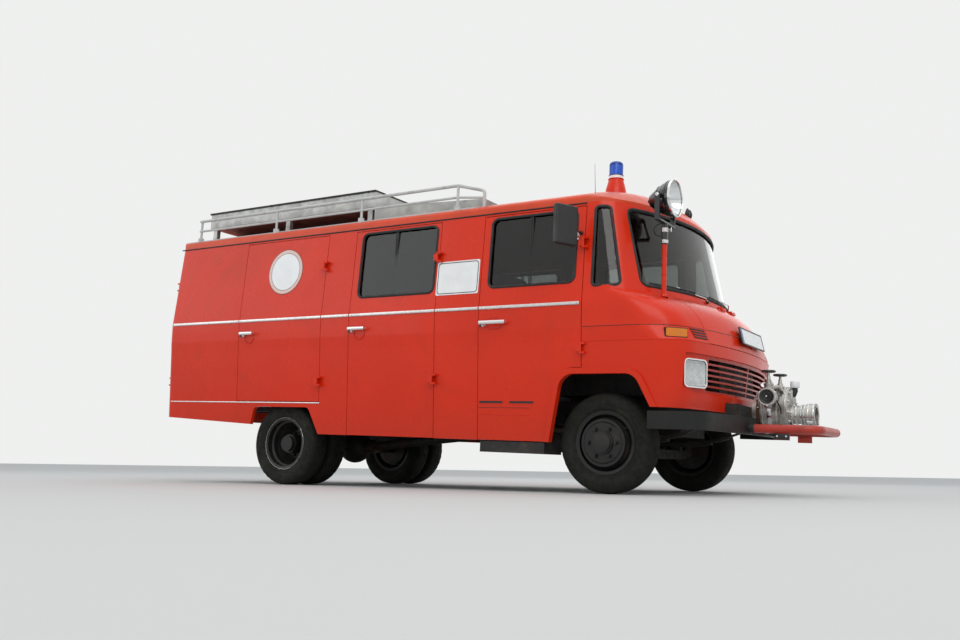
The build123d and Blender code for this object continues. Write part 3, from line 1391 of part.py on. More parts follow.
with BuildPart() as searchlight_cable:
    gland_x = LIGHT_X - 29 - SEAT_GAP
    bar_x = LIGHT_X - 18 - SEAT_GAP
    cable_points = (
        (bar_x, -LIGHT_Y, YOKE_LOW + YOKE_THICK / 2),
        (290, -LIGHT_Y, YOKE_LOW + YOKE_THICK / 2),
        (290, -LIGHT_Y, 1780),
        (gland_x, -LIGHT_Y, 1780),
    )
    add(tube_run(cable_points, 0.45 * (gland_x - 290), CABLE_R))
write_raked(searchlight_cable.part, "searchlight_cable")
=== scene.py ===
"""Looks of the small fire engine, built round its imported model."""

from math import atan2, cos, exp, pi, radians, sin, sqrt, tan

import bmesh
import bpy
from mathutils import Matrix, Vector
from mathutils.bvhtree import BVHTree


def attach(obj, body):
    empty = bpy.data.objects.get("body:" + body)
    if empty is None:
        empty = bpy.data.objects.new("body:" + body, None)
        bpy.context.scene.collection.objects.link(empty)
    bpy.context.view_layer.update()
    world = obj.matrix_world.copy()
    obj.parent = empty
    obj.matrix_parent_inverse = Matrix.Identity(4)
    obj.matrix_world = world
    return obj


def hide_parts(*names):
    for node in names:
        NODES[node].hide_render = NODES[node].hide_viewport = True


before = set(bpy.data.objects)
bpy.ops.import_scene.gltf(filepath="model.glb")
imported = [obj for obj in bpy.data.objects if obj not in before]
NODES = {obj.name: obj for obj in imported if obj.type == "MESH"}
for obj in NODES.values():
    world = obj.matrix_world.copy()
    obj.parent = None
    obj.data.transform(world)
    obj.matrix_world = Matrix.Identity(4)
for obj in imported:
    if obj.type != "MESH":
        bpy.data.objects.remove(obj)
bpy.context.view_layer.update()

# Places are given in metres on the level body, measured from the ground under the front axle.
MID = 1.56
HUB = 0.345
RAKE = radians(1.86)
LEVEL = Matrix.Translation((MID, 0, 0))
RAKED = Matrix.Translation((MID, 0, HUB)) @ Matrix.Rotation(RAKE, 4, "Y") @ Matrix.Translation((0, 0, -HUB))
UNRAKED = RAKED.inverted()
WHEELBASE = 2.95
SIDES = (("right", -1), ("left", 1))
FRONT = (1, 0, 0)
REAR = (-1, 0, 0)
UP = (0, 0, 1)
DOWN = (0, 0, -1)
# Height and half width of the body's side
SKIN = ((0.335, 0.989), (1.03, 1.034), (1.125, 1.042), (1.295, 1.046), (2.02, 0.998))

# Materials: limits of the noise that makes shades and stains, and heights between which more of the stain
# colour is mixed in towards the bottom
SHADES = (0.3, 0.7)
STAINS = (0.52, 0.75)
DARKENING_HEIGHTS = (0.75, 0.3)
COAT_ROUGH = 0.06
RELIEF = 0.002


def set_inputs(node, values):
    for key, value in values.items():
        node.inputs[key].default_value = value


def surface(name, color, rough, metal=0.0, coat=0.0, vary=0.12, vary_scale=6.0, bump=0.0, bump_scale=60.0,
            dirt=None, darken_low=0.0, sheen=0.0, specular=0.5):
    """Uneven colour and gloss, fine relief, stains of (colour, amount, scale), and more of the stain colour
    towards the bottom.
    """
    made = bpy.data.materials.new(name)
    made.use_nodes = True
    tree = made.node_tree
    shader = tree.nodes["Principled BSDF"]
    set_inputs(shader, {"Metallic": metal, "Coat Weight": coat, "Coat Roughness": COAT_ROUGH,
                        "Sheen Weight": sheen, "Specular IOR Level": specular})
    place = tree.nodes.new("ShaderNodeTexCoord").outputs["Object"]

    def noise(scale, detail=4.0, distortion=0.0):
        texture = tree.nodes.new("ShaderNodeTexNoise")
        set_inputs(texture, {"Scale": scale, "Detail": detail, "Distortion": distortion})
        tree.links.new(place, texture.inputs["Vector"])
        return texture.outputs["Fac"]

    def span(value, limits, to_low, to_high):
        ramp = tree.nodes.new("ShaderNodeMapRange")
        set_inputs(ramp, {"From Min": limits[0], "From Max": limits[1], "To Min": to_low, "To Max": to_high})
        tree.links.new(value, ramp.inputs["Value"])
        return ramp.outputs["Result"]

    def mix(share, first, second):
        blend = tree.nodes.new("ShaderNodeMix")
        blend.data_type = "RGBA"
        for value, socket in ((share, blend.inputs[0]), (first, blend.inputs[6]), (second, blend.inputs[7])):
            if isinstance(value, bpy.types.NodeSocket):
                tree.links.new(value, socket)
            else:
                socket.default_value = (*value, 1)
        return blend.outputs[2]

    darker = tuple(c * (1 - vary) for c in color)
    lighter = tuple(min(1, c * (1 + vary)) for c in color)
    shade = mix(span(noise(vary_scale), SHADES, 0, 1), darker, lighter)
    gloss = span(noise(vary_scale * 3), SHADES, rough * 0.8, min(1, rough * 1.25))
    if dirt:
        stain, amount, scale = dirt
        shade = mix(span(noise(scale, 8, 0.6), STAINS, 0, amount), shade, stain)
        # More of the stain colour lower down, so the colour turns darker towards the bottom
        if darken_low:
            parts = tree.nodes.new("ShaderNodeSeparateXYZ")
            tree.links.new(place, parts.inputs[0])
            shade = mix(span(parts.outputs["Z"], DARKENING_HEIGHTS, 0, darken_low), shade, stain)
    tree.links.new(shade, shader.inputs["Base Color"])
    tree.links.new(gloss, shader.inputs["Roughness"])
    if bump:
        relief = tree.nodes.new("ShaderNodeBump")
        set_inputs(relief, {"Strength": bump, "Distance": RELIEF})
        tree.links.new(noise(bump_scale, 3), relief.inputs["Height"])
        tree.links.new(relief.outputs["Normal"], shader.inputs["Normal"])
    return made


def glass(name, color, rough=0.0, transmission=1.0):
    """Clear or tinted glass, a little uneven in its tint."""
    made = surface(name, color, rough, vary=0.03, vary_scale=3.0)
    set_inputs(made.node_tree.nodes["Principled BSDF"], {"Transmission Weight": transmission, "IOR": 1.45})
    return made


# Red paint with darker red stains at random, and darker towards the bottom
red_paint = surface("red paint", (0.66, 0.026, 0.004), 0.27, coat=0.1, vary=0.06, vary_scale=1.3, bump=0.05,
                    bump_scale=9, dirt=((0.3, 0.03, 0.01), 0.25, 2.5), darken_low=0.25, specular=0.24)
red_faded = surface("red paint on top", (0.62, 0.055, 0.014), 0.34, coat=0.1, vary=0.08, bump=0.05,
                    bump_scale=8, dirt=((0.45, 0.1, 0.05), 0.4, 5), specular=0.3)
guard_red = surface("guard red", (0.42, 0.035, 0.02), 0.35, coat=0.2, vary=0.12, bump=0.1,
                    dirt=((0.12, 0.03, 0.02), 0.5, 9), specular=0.35)
black_gloss = surface("black gloss", (0.01, 0.01, 0.011), 0.16, coat=0.5, vary=0.2)
black_satin = surface("black satin", (0.009, 0.01, 0.009), 0.42, vary=0.2, bump=0.08, bump_scale=30,
                      dirt=((0.03, 0.028, 0.022), 0.3, 5), specular=0.3)
frame_black = surface("frame black", (0.016, 0.015, 0.014), 0.7, vary=0.3, bump=0.3, bump_scale=50,
                      dirt=((0.07, 0.052, 0.036), 0.55, 5))
iron_dark = surface("dark iron", (0.03, 0.028, 0.026), 0.65, metal=0.4, vary=0.3, bump=0.4, bump_scale=70,
                    dirt=((0.09, 0.045, 0.025), 0.6, 5))
rubber = surface("rubber seal", (0.012, 0.012, 0.012), 0.62, vary=0.25, bump=0.1)
tyre_black = surface("tyre rubber", (0.011, 0.012, 0.009), 0.78, vary=0.25, vary_scale=9, bump=0.25,
                     bump_scale=120, dirt=((0.045, 0.04, 0.03), 0.35, 7), specular=0.25)
wheel_black = surface("wheel paint", (0.012, 0.012, 0.011), 0.38, vary=0.2, bump=0.08,
                      dirt=((0.07, 0.06, 0.05), 0.35, 5), specular=0.35)
alloy = surface("bright alloy", (0.74, 0.74, 0.73), 0.28, metal=1, vary=0.06, vary_scale=20, bump=0.08,
                bump_scale=90, dirt=((0.35, 0.3, 0.26), 0.35, 5))
cast = surface("cast alloy", (0.5, 0.49, 0.46), 0.42, metal=0.85, vary=0.16, vary_scale=14, bump=0.5,
               bump_scale=160, dirt=((0.1, 0.085, 0.065), 0.75, 11))
machined = surface("machined alloy", (0.66, 0.66, 0.66), 0.2, metal=1, vary=0.08, vary_scale=30,
                   dirt=((0.25, 0.22, 0.2), 0.4, 20))
chrome = surface("chrome", (0.8, 0.8, 0.8), 0.08, metal=1, vary=0.03)
rack_grey = surface("rack grey", (0.5, 0.51, 0.49), 0.42, vary=0.08, bump=0.08,
                    dirt=((0.2, 0.19, 0.17), 0.5, 12))
chequer = surface("chequer plate", (0.42, 0.42, 0.4), 0.45, metal=0.8, vary=0.15, vary_scale=12, bump=0.15,
                  dirt=((0.14, 0.13, 0.11), 0.6, 5))
white_gloss = surface("white gloss", (0.8, 0.81, 0.8), 0.22, coat=0.2, vary=0.03,
                      dirt=((0.45, 0.42, 0.38), 0.2, 5))
# Black for print and black parts, and also painted shade in louvre openings, step slots and crease lines
black_and_shade = surface("black and painted shade", (0.012, 0.012, 0.013), 0.35, vary=0.1)
ring_pale = surface("pale ring", (0.72, 0.5, 0.44), 0.3, vary=0.05)
plate_blue = surface("plate blue", (0.03, 0.09, 0.32), 0.3, vary=0.05)
brown_band = surface("brown clamp", (0.16, 0.055, 0.025), 0.6, vary=0.25, bump=0.3,
                     dirt=((0.035, 0.03, 0.025), 0.5, 5))
rust_steel = surface("exhaust steel", (0.15, 0.11, 0.085), 0.6, metal=0.6, vary=0.3, bump=0.4, bump_scale=80,
                     dirt=((0.12, 0.045, 0.02), 0.7, 5))
plastic_black = surface("black plastic", (0.016, 0.016, 0.017), 0.48, vary=0.15, bump=0.15, bump_scale=220)
seat_cloth = surface("seat cloth", (0.035, 0.036, 0.042), 0.9, sheen=0.08, vary=0.2, vary_scale=40,
                     bump=0.12, bump_scale=900, specular=0.2)
seat_vinyl = surface("seat piping", (0.014, 0.014, 0.015), 0.5, vary=0.15)
# Window glass tinted dark as painted shade, so the cab's inside looks as dark as it does in shade
shade_tinted_glass = glass("window glass tinted for painted shade", (0.22, 0.24, 0.23))
lamp_glass = glass("lamp glass", (0.93, 0.95, 0.96), 0.05)
orange_glass = glass("orange lens", (0.92, 0.27, 0.02), 0.12, 0.15)
red_glass = glass("red lens", (0.5, 0.012, 0.01), 0.12, 0.5)
blue_glass = glass("blue dome", (0.012, 0.09, 0.52), 0.05, 0.6)
mirror_glass = surface("mirror glass", (0.75, 0.77, 0.78), 0.03, metal=1, vary=0.02)

# A star stands for right and left.
NODE_MATERIALS = {
    red_paint: "body_sides cab_front bonnet beacon_base searchlight_pole front_door_* crew_door_* "
               "locker_door_* rear_door_*",
    red_faded: "roof_panel",
    frame_black: "ladder_frame floor_pan fuel_tank",
    iron_dark: "front_axle_beam rear_axle engine_block radiator knuckle_*",
    rust_steel: "exhaust",
    black_satin: "front_bumper roof_box_lid",
    shade_tinted_glass: "cab_glass front_door_glass_* crew_door_glass_* rear_door_glass_*",
    plastic_black: "dashboard mirror_*",
    cast: "pump_body",
    black_gloss: "pump_handwheels searchlight_yoke searchlight_head",
    guard_red: "pump_guard grille",
    rack_grey: "roof_rack",
    chequer: "roof_box",
    blue_glass: "beacon_lamp",
    lamp_glass: "searchlight_lens lamps",
    rubber: "searchlight_cable",
    wheel_black: "front_rim_* rear_rims_*",
    tyre_black: "front_tyre_* rear_tyres_*",
    seat_cloth: "seats",
}
for material, names in NODE_MATERIALS.items():
    for name in names.split():
        for side_name in ("right", "left") if "*" in name else ("",):
            slots = NODES[name.replace("*", side_name)].data.materials
            slots.clear()
            slots.append(material)


# Tools that build meshes
ON_AXIS = 1e-6


def linked(name, data):
    """New object in the scene."""
    made = bpy.data.objects.new(name, data)
    bpy.context.scene.collection.objects.link(made)
    return made


def between(low, high):
    """Faces between two rings of as many points."""
    n = len(low)
    return [(low[k], low[(k + 1) % n], high[(k + 1) % n], high[k]) for k in range(n)]


class Build:
    """Gathers simple forms into one piece."""

    def __init__(self, world=RAKED):
        self.mesh = bmesh.new()
        self.materials = []
        self.world = world

    def slot(self, material):
        if material not in self.materials:
            self.materials.append(material)
        return self.materials.index(material)

    def add(self, points, faces, material, place=None):
        place = place or Matrix()
        made = [self.mesh.verts.new(place @ Vector(p)) for p in points]
        index = self.slot(material)
        for face in faces:
            self.mesh.faces.new([made[i] for i in face]).material_index = index

    def lathe(self, profile, material, at, way, steps, place=None):
        """Turned form: profile is (radius, height) along the way."""
        turn = Vector(way).normalized().to_track_quat("Z", "Y").to_matrix().to_4x4()
        full = (place or Matrix()) @ Matrix.Translation(at) @ turn
        points, rows = [], []
        for radius, height in profile:
            if radius < ON_AXIS:
                rows.append([len(points)] * steps)
                points.append((0, 0, height))
            else:
                rows.append(list(range(len(points), len(points) + steps)))
                points += [(x, y, height) for x, y in circle(radius, steps)]
        faces = []
        for low, high in zip(rows, rows[1:]):
            faces += [list(dict.fromkeys(face)) for face in between(low, high)]
        self.add(points, [face for face in faces if len(face) > 2], material, full)

    def ring(self, section, material, at, way, steps):
        """Turned form with a closed section."""
        self.lathe(section + section[:1], material, at, way, steps)

    def rod(self, start, end, radius, material, steps, end_radius=None):
        start, end = Vector(start), Vector(end)
        long = (end - start).length
        last = end_radius or radius
        edge = min(radius, last, long) * 0.12
        self.lathe(((0, 0), (radius - edge, 0), (radius, edge), (last, long - edge), (last - edge, long),
                    (0, long)), material, start, end - start, steps)

    def stud(self, at, way, radius, top, shoulder, height, steps):
        """Low machined head that narrows from its shoulder to its top."""
        self.lathe(((0, 0), (radius, 0), (top, shoulder), (0, height)), machined, at, way, steps)

    def box(self, low, high, material, edge, place=None):
        middle = (Vector(low) + Vector(high)) / 2
        size = Vector([abs(b - a) for a, b in zip(low, high)])
        full = (place or Matrix()) @ Matrix.Translation(middle) @ Matrix.Diagonal((*size, 1))
        made = bmesh.ops.create_cube(self.mesh, size=1, matrix=full)["verts"]
        index = self.slot(material)
        for face in {f for v in made for f in v.link_faces}:
            face.material_index = index
        edge = min(edge, min(size) * 0.4)
        if edge:
            edges = list({e for v in made for e in v.link_edges})
            bmesh.ops.bevel(self.mesh, geom=edges, offset=edge, segments=2, affect="EDGES", profile=0.5)

    def tube(self, points, radius, material, steps, closed=False, flat=1.0, up=None):
        """Round or flattened bar along points."""
        points = [Vector(p) for p in points]
        count = len(points)
        made, normal = [], None
        for i, p in enumerate(points):
            if closed:
                way = points[(i + 1) % count] - points[i - 1]
            else:
                way = points[min(i + 1, count - 1)] - points[max(i - 1, 0)]
            way.normalize()
            if up:
                normal = Vector(up)
            elif normal is None:
                normal = way.orthogonal()
            normal = (normal - way * normal.dot(way)).normalized()
            side = way.cross(normal)
            for k in range(steps):
                angle = 2 * pi * k / steps
                made.append(p + radius * (cos(angle) * side + flat * sin(angle) * normal))
        rings = [range(i * steps, (i + 1) * steps) for i in range(count)]
        faces = [] if closed else [tuple(reversed(rings[0])), tuple(rings[-1])]
        for low, high in zip(rings, rings[1:] + (rings[:1] if closed else [])):
            faces += between(low, high)
        self.add(made, faces, material)

    def plate(self, outline, low, high, material, place, hole=None):
        """Flat plate with this outline, or a flat ring where it has a hole of as many points."""
        n = len(outline)
        points = [(x, y, z) for z in (low, high) for x, y in outline]
        bottom, top, inner, inner_top = [range(i * n, (i + 1) * n) for i in range(4)]
        faces = between(bottom, top)
        if hole is None:
            faces += [tuple(reversed(bottom)), tuple(top)]
        else:
            points += [(x, y, z) for z in (low, high) for x, y in hole]
            faces += between(top, inner_top) + between(inner_top, inner) + between(inner, bottom)
        self.add(points, faces, material, place)

    def done(self, name, body, replaces=(), crease=35):
        """Finish the piece and let it ride on a body."""
        self.mesh.transform(self.world)
        bmesh.ops.recalc_face_normals(self.mesh, faces=self.mesh.faces)
        data = bpy.data.meshes.new(name)
        self.mesh.to_mesh(data)
        self.mesh.free()
        for material in self.materials:
            data.materials.append(material)
        data.polygons.foreach_set("use_smooth", [True] * len(data.polygons))
        data.set_sharp_from_angle(angle=radians(crease))
        made = linked(name, data)
        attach(made, body)
        if replaces:
            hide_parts(*replaces)
        return made


def circle(radius, steps=64):
    angles = [2 * pi * k / steps for k in range(steps)]
    return [(radius * cos(angle), radius * sin(angle)) for angle in angles]


def rounded_polygon(corners, radius, steps=6):
    """Polygon with its corners rounded."""
    points, n = [], len(corners)
    for i, corner in enumerate(corners):
        here = Vector(corner)
        before = (Vector(corners[i - 1]) - here).normalized()
        after = (Vector(corners[(i + 1) % n]) - here).normalized()
        half = before.angle(after) / 2
        reach = radius / tan(half)
        middle = here + (before + after).normalized() * (radius / sin(half))
        first = here + before * reach - middle
        last = here + after * reach - middle
        turn = first.angle_signed(last)
        for k in range(steps + 1):
            angle = -turn * k / steps
            c, s = cos(angle), sin(angle)
            points.append((middle.x + c * first.x - s * first.y, middle.y + s * first.x + c * first.y))
    return points


def rounded(width, height, radius, steps=6):
    """Round-cornered rectangle about its middle."""
    x, y = width / 2, height / 2
    return rounded_polygon(((x, y), (-x, y), (-x, -y), (x, -y)), radius, steps)


def row(first, last, steps):
    """Evenly spaced points from first to last."""
    return [tuple(a + (b - a) * k / steps for a, b in zip(first, last)) for k in range(steps + 1)]


def skin(z):
    """Half width of the body's side at one height."""
    for (low, half_low), (high, half_high) in zip(SKIN, SKIN[1:]):
        if z <= high:
            return half_low + (half_high - half_low) * (z - low) / (high - low)
    return SKIN[-1][1]


def framed(at, across, up, out):
    """Frame at a place, with X across, Y up and Z out."""
    return Matrix.Translation(at) @ Matrix((across, up, out)).transposed().to_4x4()


def turned(at, degrees, side):
    """Upright frame that faces forward, turned outward by this angle."""
    turn = radians(degrees)
    c, s = cos(turn), sin(turn)
    return framed(at, (-s, side * c, 0), UP, (c, side * s, 0))


def side_place(x, z, side, proud):
    """Frame on the body's side: X level, Y up the skin, Z outward."""
    lean = atan2(skin(z - 0.05) - skin(z + 0.05), 0.1)
    across = Vector((-side, 0, 0))
    up = Vector((0, -side * sin(lean), cos(lean)))
    out = across.cross(up)
    return framed(Vector((x, side * skin(z), z)) + out * proud, across, up, out)


TREES = {}


def cast_ray(node, start, way):
    """First place where a ray meets this CAD node, on the level body."""
    if node not in TREES:
        mesh = NODES[node].data
        faces = [p.vertices for p in mesh.polygons]
        TREES[node] = BVHTree.FromPolygons([v.co for v in mesh.vertices], faces)
    place = TREES[node].ray_cast(RAKED @ Vector(start), RAKED.to_3x3() @ Vector(way))[0]
    return None if place is None else UNRAKED @ place


def laid(node, points, way, lift=0.0):
    """Points pushed along the way until they lie on the CAD node; a miss takes its neighbour's depth."""
    way = Vector(way)
    axis = 0 if way.x else 1
    found = []
    for p in points:
        seen = cast_ray(node, Vector(p) - way * 3, way)
        found.append(None if seen is None else seen - way * lift)
    known = [i for i, p in enumerate(found) if p is not None]
    for i, p in enumerate(found):
        if p is None:
            near = min(known, key=lambda k: min(abs(k - i), len(found) - abs(k - i)))
            found[i] = Vector(points[i])
            found[i][axis] = found[near][axis]
    return found


def mirrored(builder):
    """Build the same thing on each side: builder(side name, side sign)."""
    for name, side in SIDES:
        builder(name, side)


# Tyres with a zigzag tread, shoulder lugs and ringed walls
TYRE_WALL = ((0.06, 0.207), (0.074, 0.213), (0.079, 0.224), (0.084, 0.233), (0.0855, 0.2345),
             (0.0865, 0.239), (0.09, 0.252), (0.0925, 0.266), (0.0942, 0.2685), (0.0942, 0.29),
             (0.0925, 0.2925), (0.0915, 0.305), (0.0905, 0.3065), (0.088, 0.317), (0.083, 0.3285),
             (0.0745, 0.3365))
TREAD_EDGE = 0.062
GROOVES = ((0.048, 0.041), (0.0185, 0.0115))
GROOVE_DEEP = 0.009
TYRE_STEPS = 144
ZIGZAG = 0.0028
LUG = (0.004, 0.985)
TYRES = (("tyre_front", "front_wheel", "front_tyre", 0, (0.811,)),
         ("tyres_rear", "rear_wheels", "rear_tyres", -WHEELBASE, (0.85, 0.612)))


def tread_radius(w):
    return HUB - 0.0055 * (w / 0.075) ** 2


def tyre(build, x, y):
    half = [(w, r, 0) for w, r in TYRE_WALL] + [(TREAD_EDGE, tread_radius(TREAD_EDGE), 0)]
    for outer, inner in GROOVES:
        top = tread_radius(outer)
        low = top - GROOVE_DEEP
        half += [(outer, top, 1), (outer - 0.001, low, 1), (inner + 0.001, low, 1), (inner, top, 1)]
    profile = half + [(-w, r, zigzag) for w, r, zigzag in reversed(half)]
    points = []
    for k in range(TYRE_STEPS):
        angle = 2 * pi * k / TYRE_STEPS
        swing = ZIGZAG * (1 if (k // 2) % 2 else -1)
        for w, r, zigzag in profile:
            if abs(w) > 0.073 and r > 0.33 and k % 4 < 2:
                r, w = r - LUG[0], w * LUG[1]
            points.append((x + r * cos(angle), y + w + swing * zigzag, HUB + r * sin(angle)))
    n = len(profile)
    rings = [range(i, i + n) for i in range(0, len(points), n)]
    faces = [face for low, high in zip(rings, rings[1:] + rings[:1]) for face in between(low, high)]
    build.add(points, faces, tyre_black)


def tyres(name, side):
    for piece, body, node, x, places in TYRES:
        build = Build(LEVEL)
        for y in places:
            tyre(build, x, side * y)
        build.done(f"{piece}_{name}", f"{body}_{name}", [f"{node}_{name}"], crease=28)


mirrored(tyres)

# Alloy mouldings along the body, and a narrow one low down at the back
WAIST_Z = 1.295
TRIM_Z = 0.588
WAIST_STRIPS = (("front_door", -0.145, -0.9655), ("body", -0.9755, -1.362), ("crew_door", -1.3705, -2.2125),
                ("body", -2.2225, -2.516), ("locker_door", -2.5245, -3.4745), ("body", -3.4845, -4.345))
STRIP_SECTION = ((-0.5, -0.001), (-0.5, 0.45), (-0.38, 0.9), (-0.16, 1.0), (-0.1, 0.72), (0.1, 0.72),
                 (0.16, 1.0), (0.38, 0.9), (0.5, 0.45), (0.5, -0.001))


def strip(build, front, rear, z, side, high, proud):
    """Moulding with a rounded crest and a groove along its middle."""
    points = [(x, side * (skin(z) + out * proud), z + up * high) for x in (front, rear)
              for up, out in STRIP_SECTION]
    n = len(STRIP_SECTION)
    ends = [range(n), range(n, 2 * n)]
    build.add(points, between(*ends) + ends, alloy)


def mouldings(name, side):
    body = Build()
    for owner, front, rear in WAIST_STRIPS:
        build = body if owner == "body" else Build()
        strip(build, front, rear, WAIST_Z, side, 0.024, 0.008)
        for x in (front - 0.02, rear + 0.02):
            y = side * (skin(WAIST_Z) + 0.0068)
            build.stud((x, y, WAIST_Z), (0, side, 0), 0.005, 0.0035, 0.0022, 0.003, 12)
        if owner != "body":
            build.done(f"waist_strip_{owner}_{name}", f"{owner}_{name}")
    strip(body, -2.512, -4.345, TRIM_Z, side, 0.01, 0.004)
    body.done(f"waist_strips_body_{name}", "body")


mirrored(mouldings)

# Black gutter where the roof meets the sides
GUTTER_Z = 2.013
GUTTER_X = (-0.13, -1.2, -2.3, -3.4, -4.37)


def gutters(name, side):
    build = Build()
    y = side * (skin(GUTTER_Z) + 0.0015)
    build.tube([(x, y, GUTTER_Z) for x in GUTTER_X], 0.0055, rubber, 10)
    build.done(f"gutter_{name}", "body")


mirrored(gutters)

# Rubber seals round the windows: front, rear, low, high and divider of a door's window
DOOR_WINDOWS = {"front_door": (-0.195, -0.9, 1.446, 1.968, -0.575),
                "crew_door": (-1.4, -2.146, 1.438, 1.968, -1.81)}
QUARTER = ((-0.058, 1.412), (0.138, 1.412), (0.034, 1.982), (-0.058, 1.982))
WINDOW_CORNER = 0.05
REAR_WINDOW = (0.58, 0.46)
REAR_WINDOW_Z = 1.67
SCREEN = (1.72, 0.554)
SCREEN_Z = 1.705
SCREEN_STEPS = 16


def seal(build, points, radius=0.01, up=(0, 1, 0)):
    build.tube(points, radius, rubber, 10, closed=True, flat=0.75, up=up)


def side_seals(name, side):
    for door, (front, rear, low, high, divider) in DOOR_WINDOWS.items():
        build = Build()
        flat = rounded(front - rear, high - low, WINDOW_CORNER, 8)
        x, z = (front + rear) / 2, (low + high) / 2
        for proud in (0.001, -0.0335):
            seal(build, [(x + u, side * (skin(z + v) + proud), z + v) for u, v in flat])
        for x in (divider, divider + 0.016):
            build.box((x - 0.006, side * 1.0, low), (x + 0.006, side * 1.001, high), rubber, 0.0)
        build.done(f"seal_{door}_{name}", f"{door}_{name}")
    build = Build()
    flat = rounded_polygon(QUARTER, 0.03)
    outer = rounded_polygon([(x + (0.01 if x > 0 else -0.006), z + (0.006 if z > 1.5 else -0.006))
                             for x, z in QUARTER], 0.034)
    there = laid("cab_front", [(x, 0, z) for x, z in outer], (0, -side, 0))
    seal(build, [(x, p.y, z) for (x, z), p in zip(flat, there)], 0.011)
    build.done(f"seal_quarter_{name}", "body")
    build = Build()
    points = []
    for u, v in rounded(*REAR_WINDOW, WINDOW_CORNER, 8):
        z = REAR_WINDOW_Z + v
        points.append((-4.405 + 0.027 * max(0, z - 1.295) / 0.725 - 0.001, side * 0.49 + u, z))
    seal(build, points, up=FRONT)
    build.done(f"seal_rear_door_{name}", f"rear_door_{name}")


def screen_seal():
    build = Build()
    flat = rounded(*SCREEN, WINDOW_CORNER, 8)
    edge = []
    for here, there in zip(flat, flat[1:] + flat[:1]):
        long = abs(here[0] - there[0]) > 0.5
        edge += row(here, (there[0], here[1]), SCREEN_STEPS)[:-1] if long else [here]
    spots = laid("cab_front", [(0, y * 1.012, SCREEN_Z + v * 1.03) for y, v in edge], REAR)
    seal(build, [(p.x, y, SCREEN_Z + v) for (y, v), p in zip(edge, spots)], 0.013, FRONT)
    build.done("seal_windscreen", "body")


mirrored(side_seals)
screen_seal()

# Door handles: chrome bar, its plates and the pressed edge of the finger recess behind it
HANDLES = (("front_door", -0.722, -0.942), ("crew_door", -2.028, -2.195), ("locker_door", -3.278, -3.432))
HANDLE_Z = 1.182
HANDLE_BAR = 0.0128
HANDLE_POST = 0.0125
LOCK_PLATE = ((0, 0), (0.021, 0), (0.02, 0.004), (0.014, 0.006), (0, 0.006))


def handles(name, side):
    half = skin(HANDLE_Z)
    for door, front, rear in HANDLES:
        build = Build()
        middle = (front + rear) / 2
        y = side * (half + 0.032)
        bar = [(x, y, HANDLE_Z) for x in (front, front - 0.012, middle, rear + 0.012, rear)]
        build.tube(bar, HANDLE_BAR, chrome, 14, flat=1.2, up=UP)
        for x in (front - 0.011, rear + 0.011):
            low, high = [(x, side * (half + out), HANDLE_Z) for out in (0.0005, 0.022)]
            build.rod(low, high, HANDLE_POST, chrome, 18)
        build.lathe(LOCK_PLATE, machined, (rear + 0.018, side * (half + 0.0002), 1.176), (0, side, 0), 28)
        x = rear + 0.012
        build.rod((x, side * (half + 0.03), 1.168), (x, side * (half + 0.036), 1.15), 0.007, black_and_shade, 12)
        if door == "front_door":
            y = side * (half + 0.0012)
            edge = [(u + middle, y, 1.178 + v) for u, v in rounded(0.115, 0.085, 0.03)]
            build.tube(edge, 0.0028, red_paint, 8, closed=True)
        else:
            y = side * (half + 0.001)
            arc = [radians(185 + 170 * k / 16) for k in range(17)]
            edge = [(middle + 0.01 + 0.058 * cos(a), y, 1.16 + 0.062 * sin(a)) for a in arc]
            build.tube(edge, 0.0032, red_paint, 8)
        build.done(f"handle_{door}_{name}", f"{door}_{name}")
    build = Build()
    x, y = -4.437, side * 0.07
    build.tube([(x, y, z) for z in (1.101, 1.11, 1.182, 1.254, 1.263)], HANDLE_BAR, chrome, 14)
    for z in (1.122, 1.242):
        build.rod((-4.4055, y, z), (-4.427, y, z), HANDLE_POST, chrome, 18)
    build.done(f"handle_rear_door_{name}", f"rear_door_{name}")


mirrored(handles)

# Blank signs: black-edged board on the panel, ringed disc on the locker door
SIGN_PROUD = 0.0004


def signs(name, side):
    build = Build()
    place = side_place(-1.18, 1.541, side, SIGN_PROUD)
    build.plate(rounded(0.384, 0.262, 0.012), 0, 0.0022, white_gloss, place)
    build.plate(rounded(0.366, 0.244, 0.026), 0.0022, 0.0027, black_and_shade, place, rounded(0.354, 0.232, 0.02))
    build.done(f"sign_board_{name}", "body")
    build = Build()
    place = side_place(-2.987, 1.711, side, SIGN_PROUD)
    build.plate(circle(0.199), 0, 0.0012, black_and_shade, place)
    build.plate(circle(0.194), 0.0012, 0.0015, ring_pale, place, circle(0.166))
    build.plate(circle(0.166), 0.0012, 0.0016, black_and_shade, place, circle(0.162))
    build.plate(circle(0.162), 0.0012, 0.0015, white_gloss, place)
    build.done(f"round_sign_{name}", f"locker_door_{name}")


mirrored(signs)

# Lamps: fluted headlamps in chrome rims, amber indicators and red rear lamps
FLUTES = 28
FLUTE_DEEP = 0.0016
GLASS_HALF = (0.094, 0.083)
GLASS_LEVELS = (-0.083, -0.06, 0.0, 0.06, 0.083)


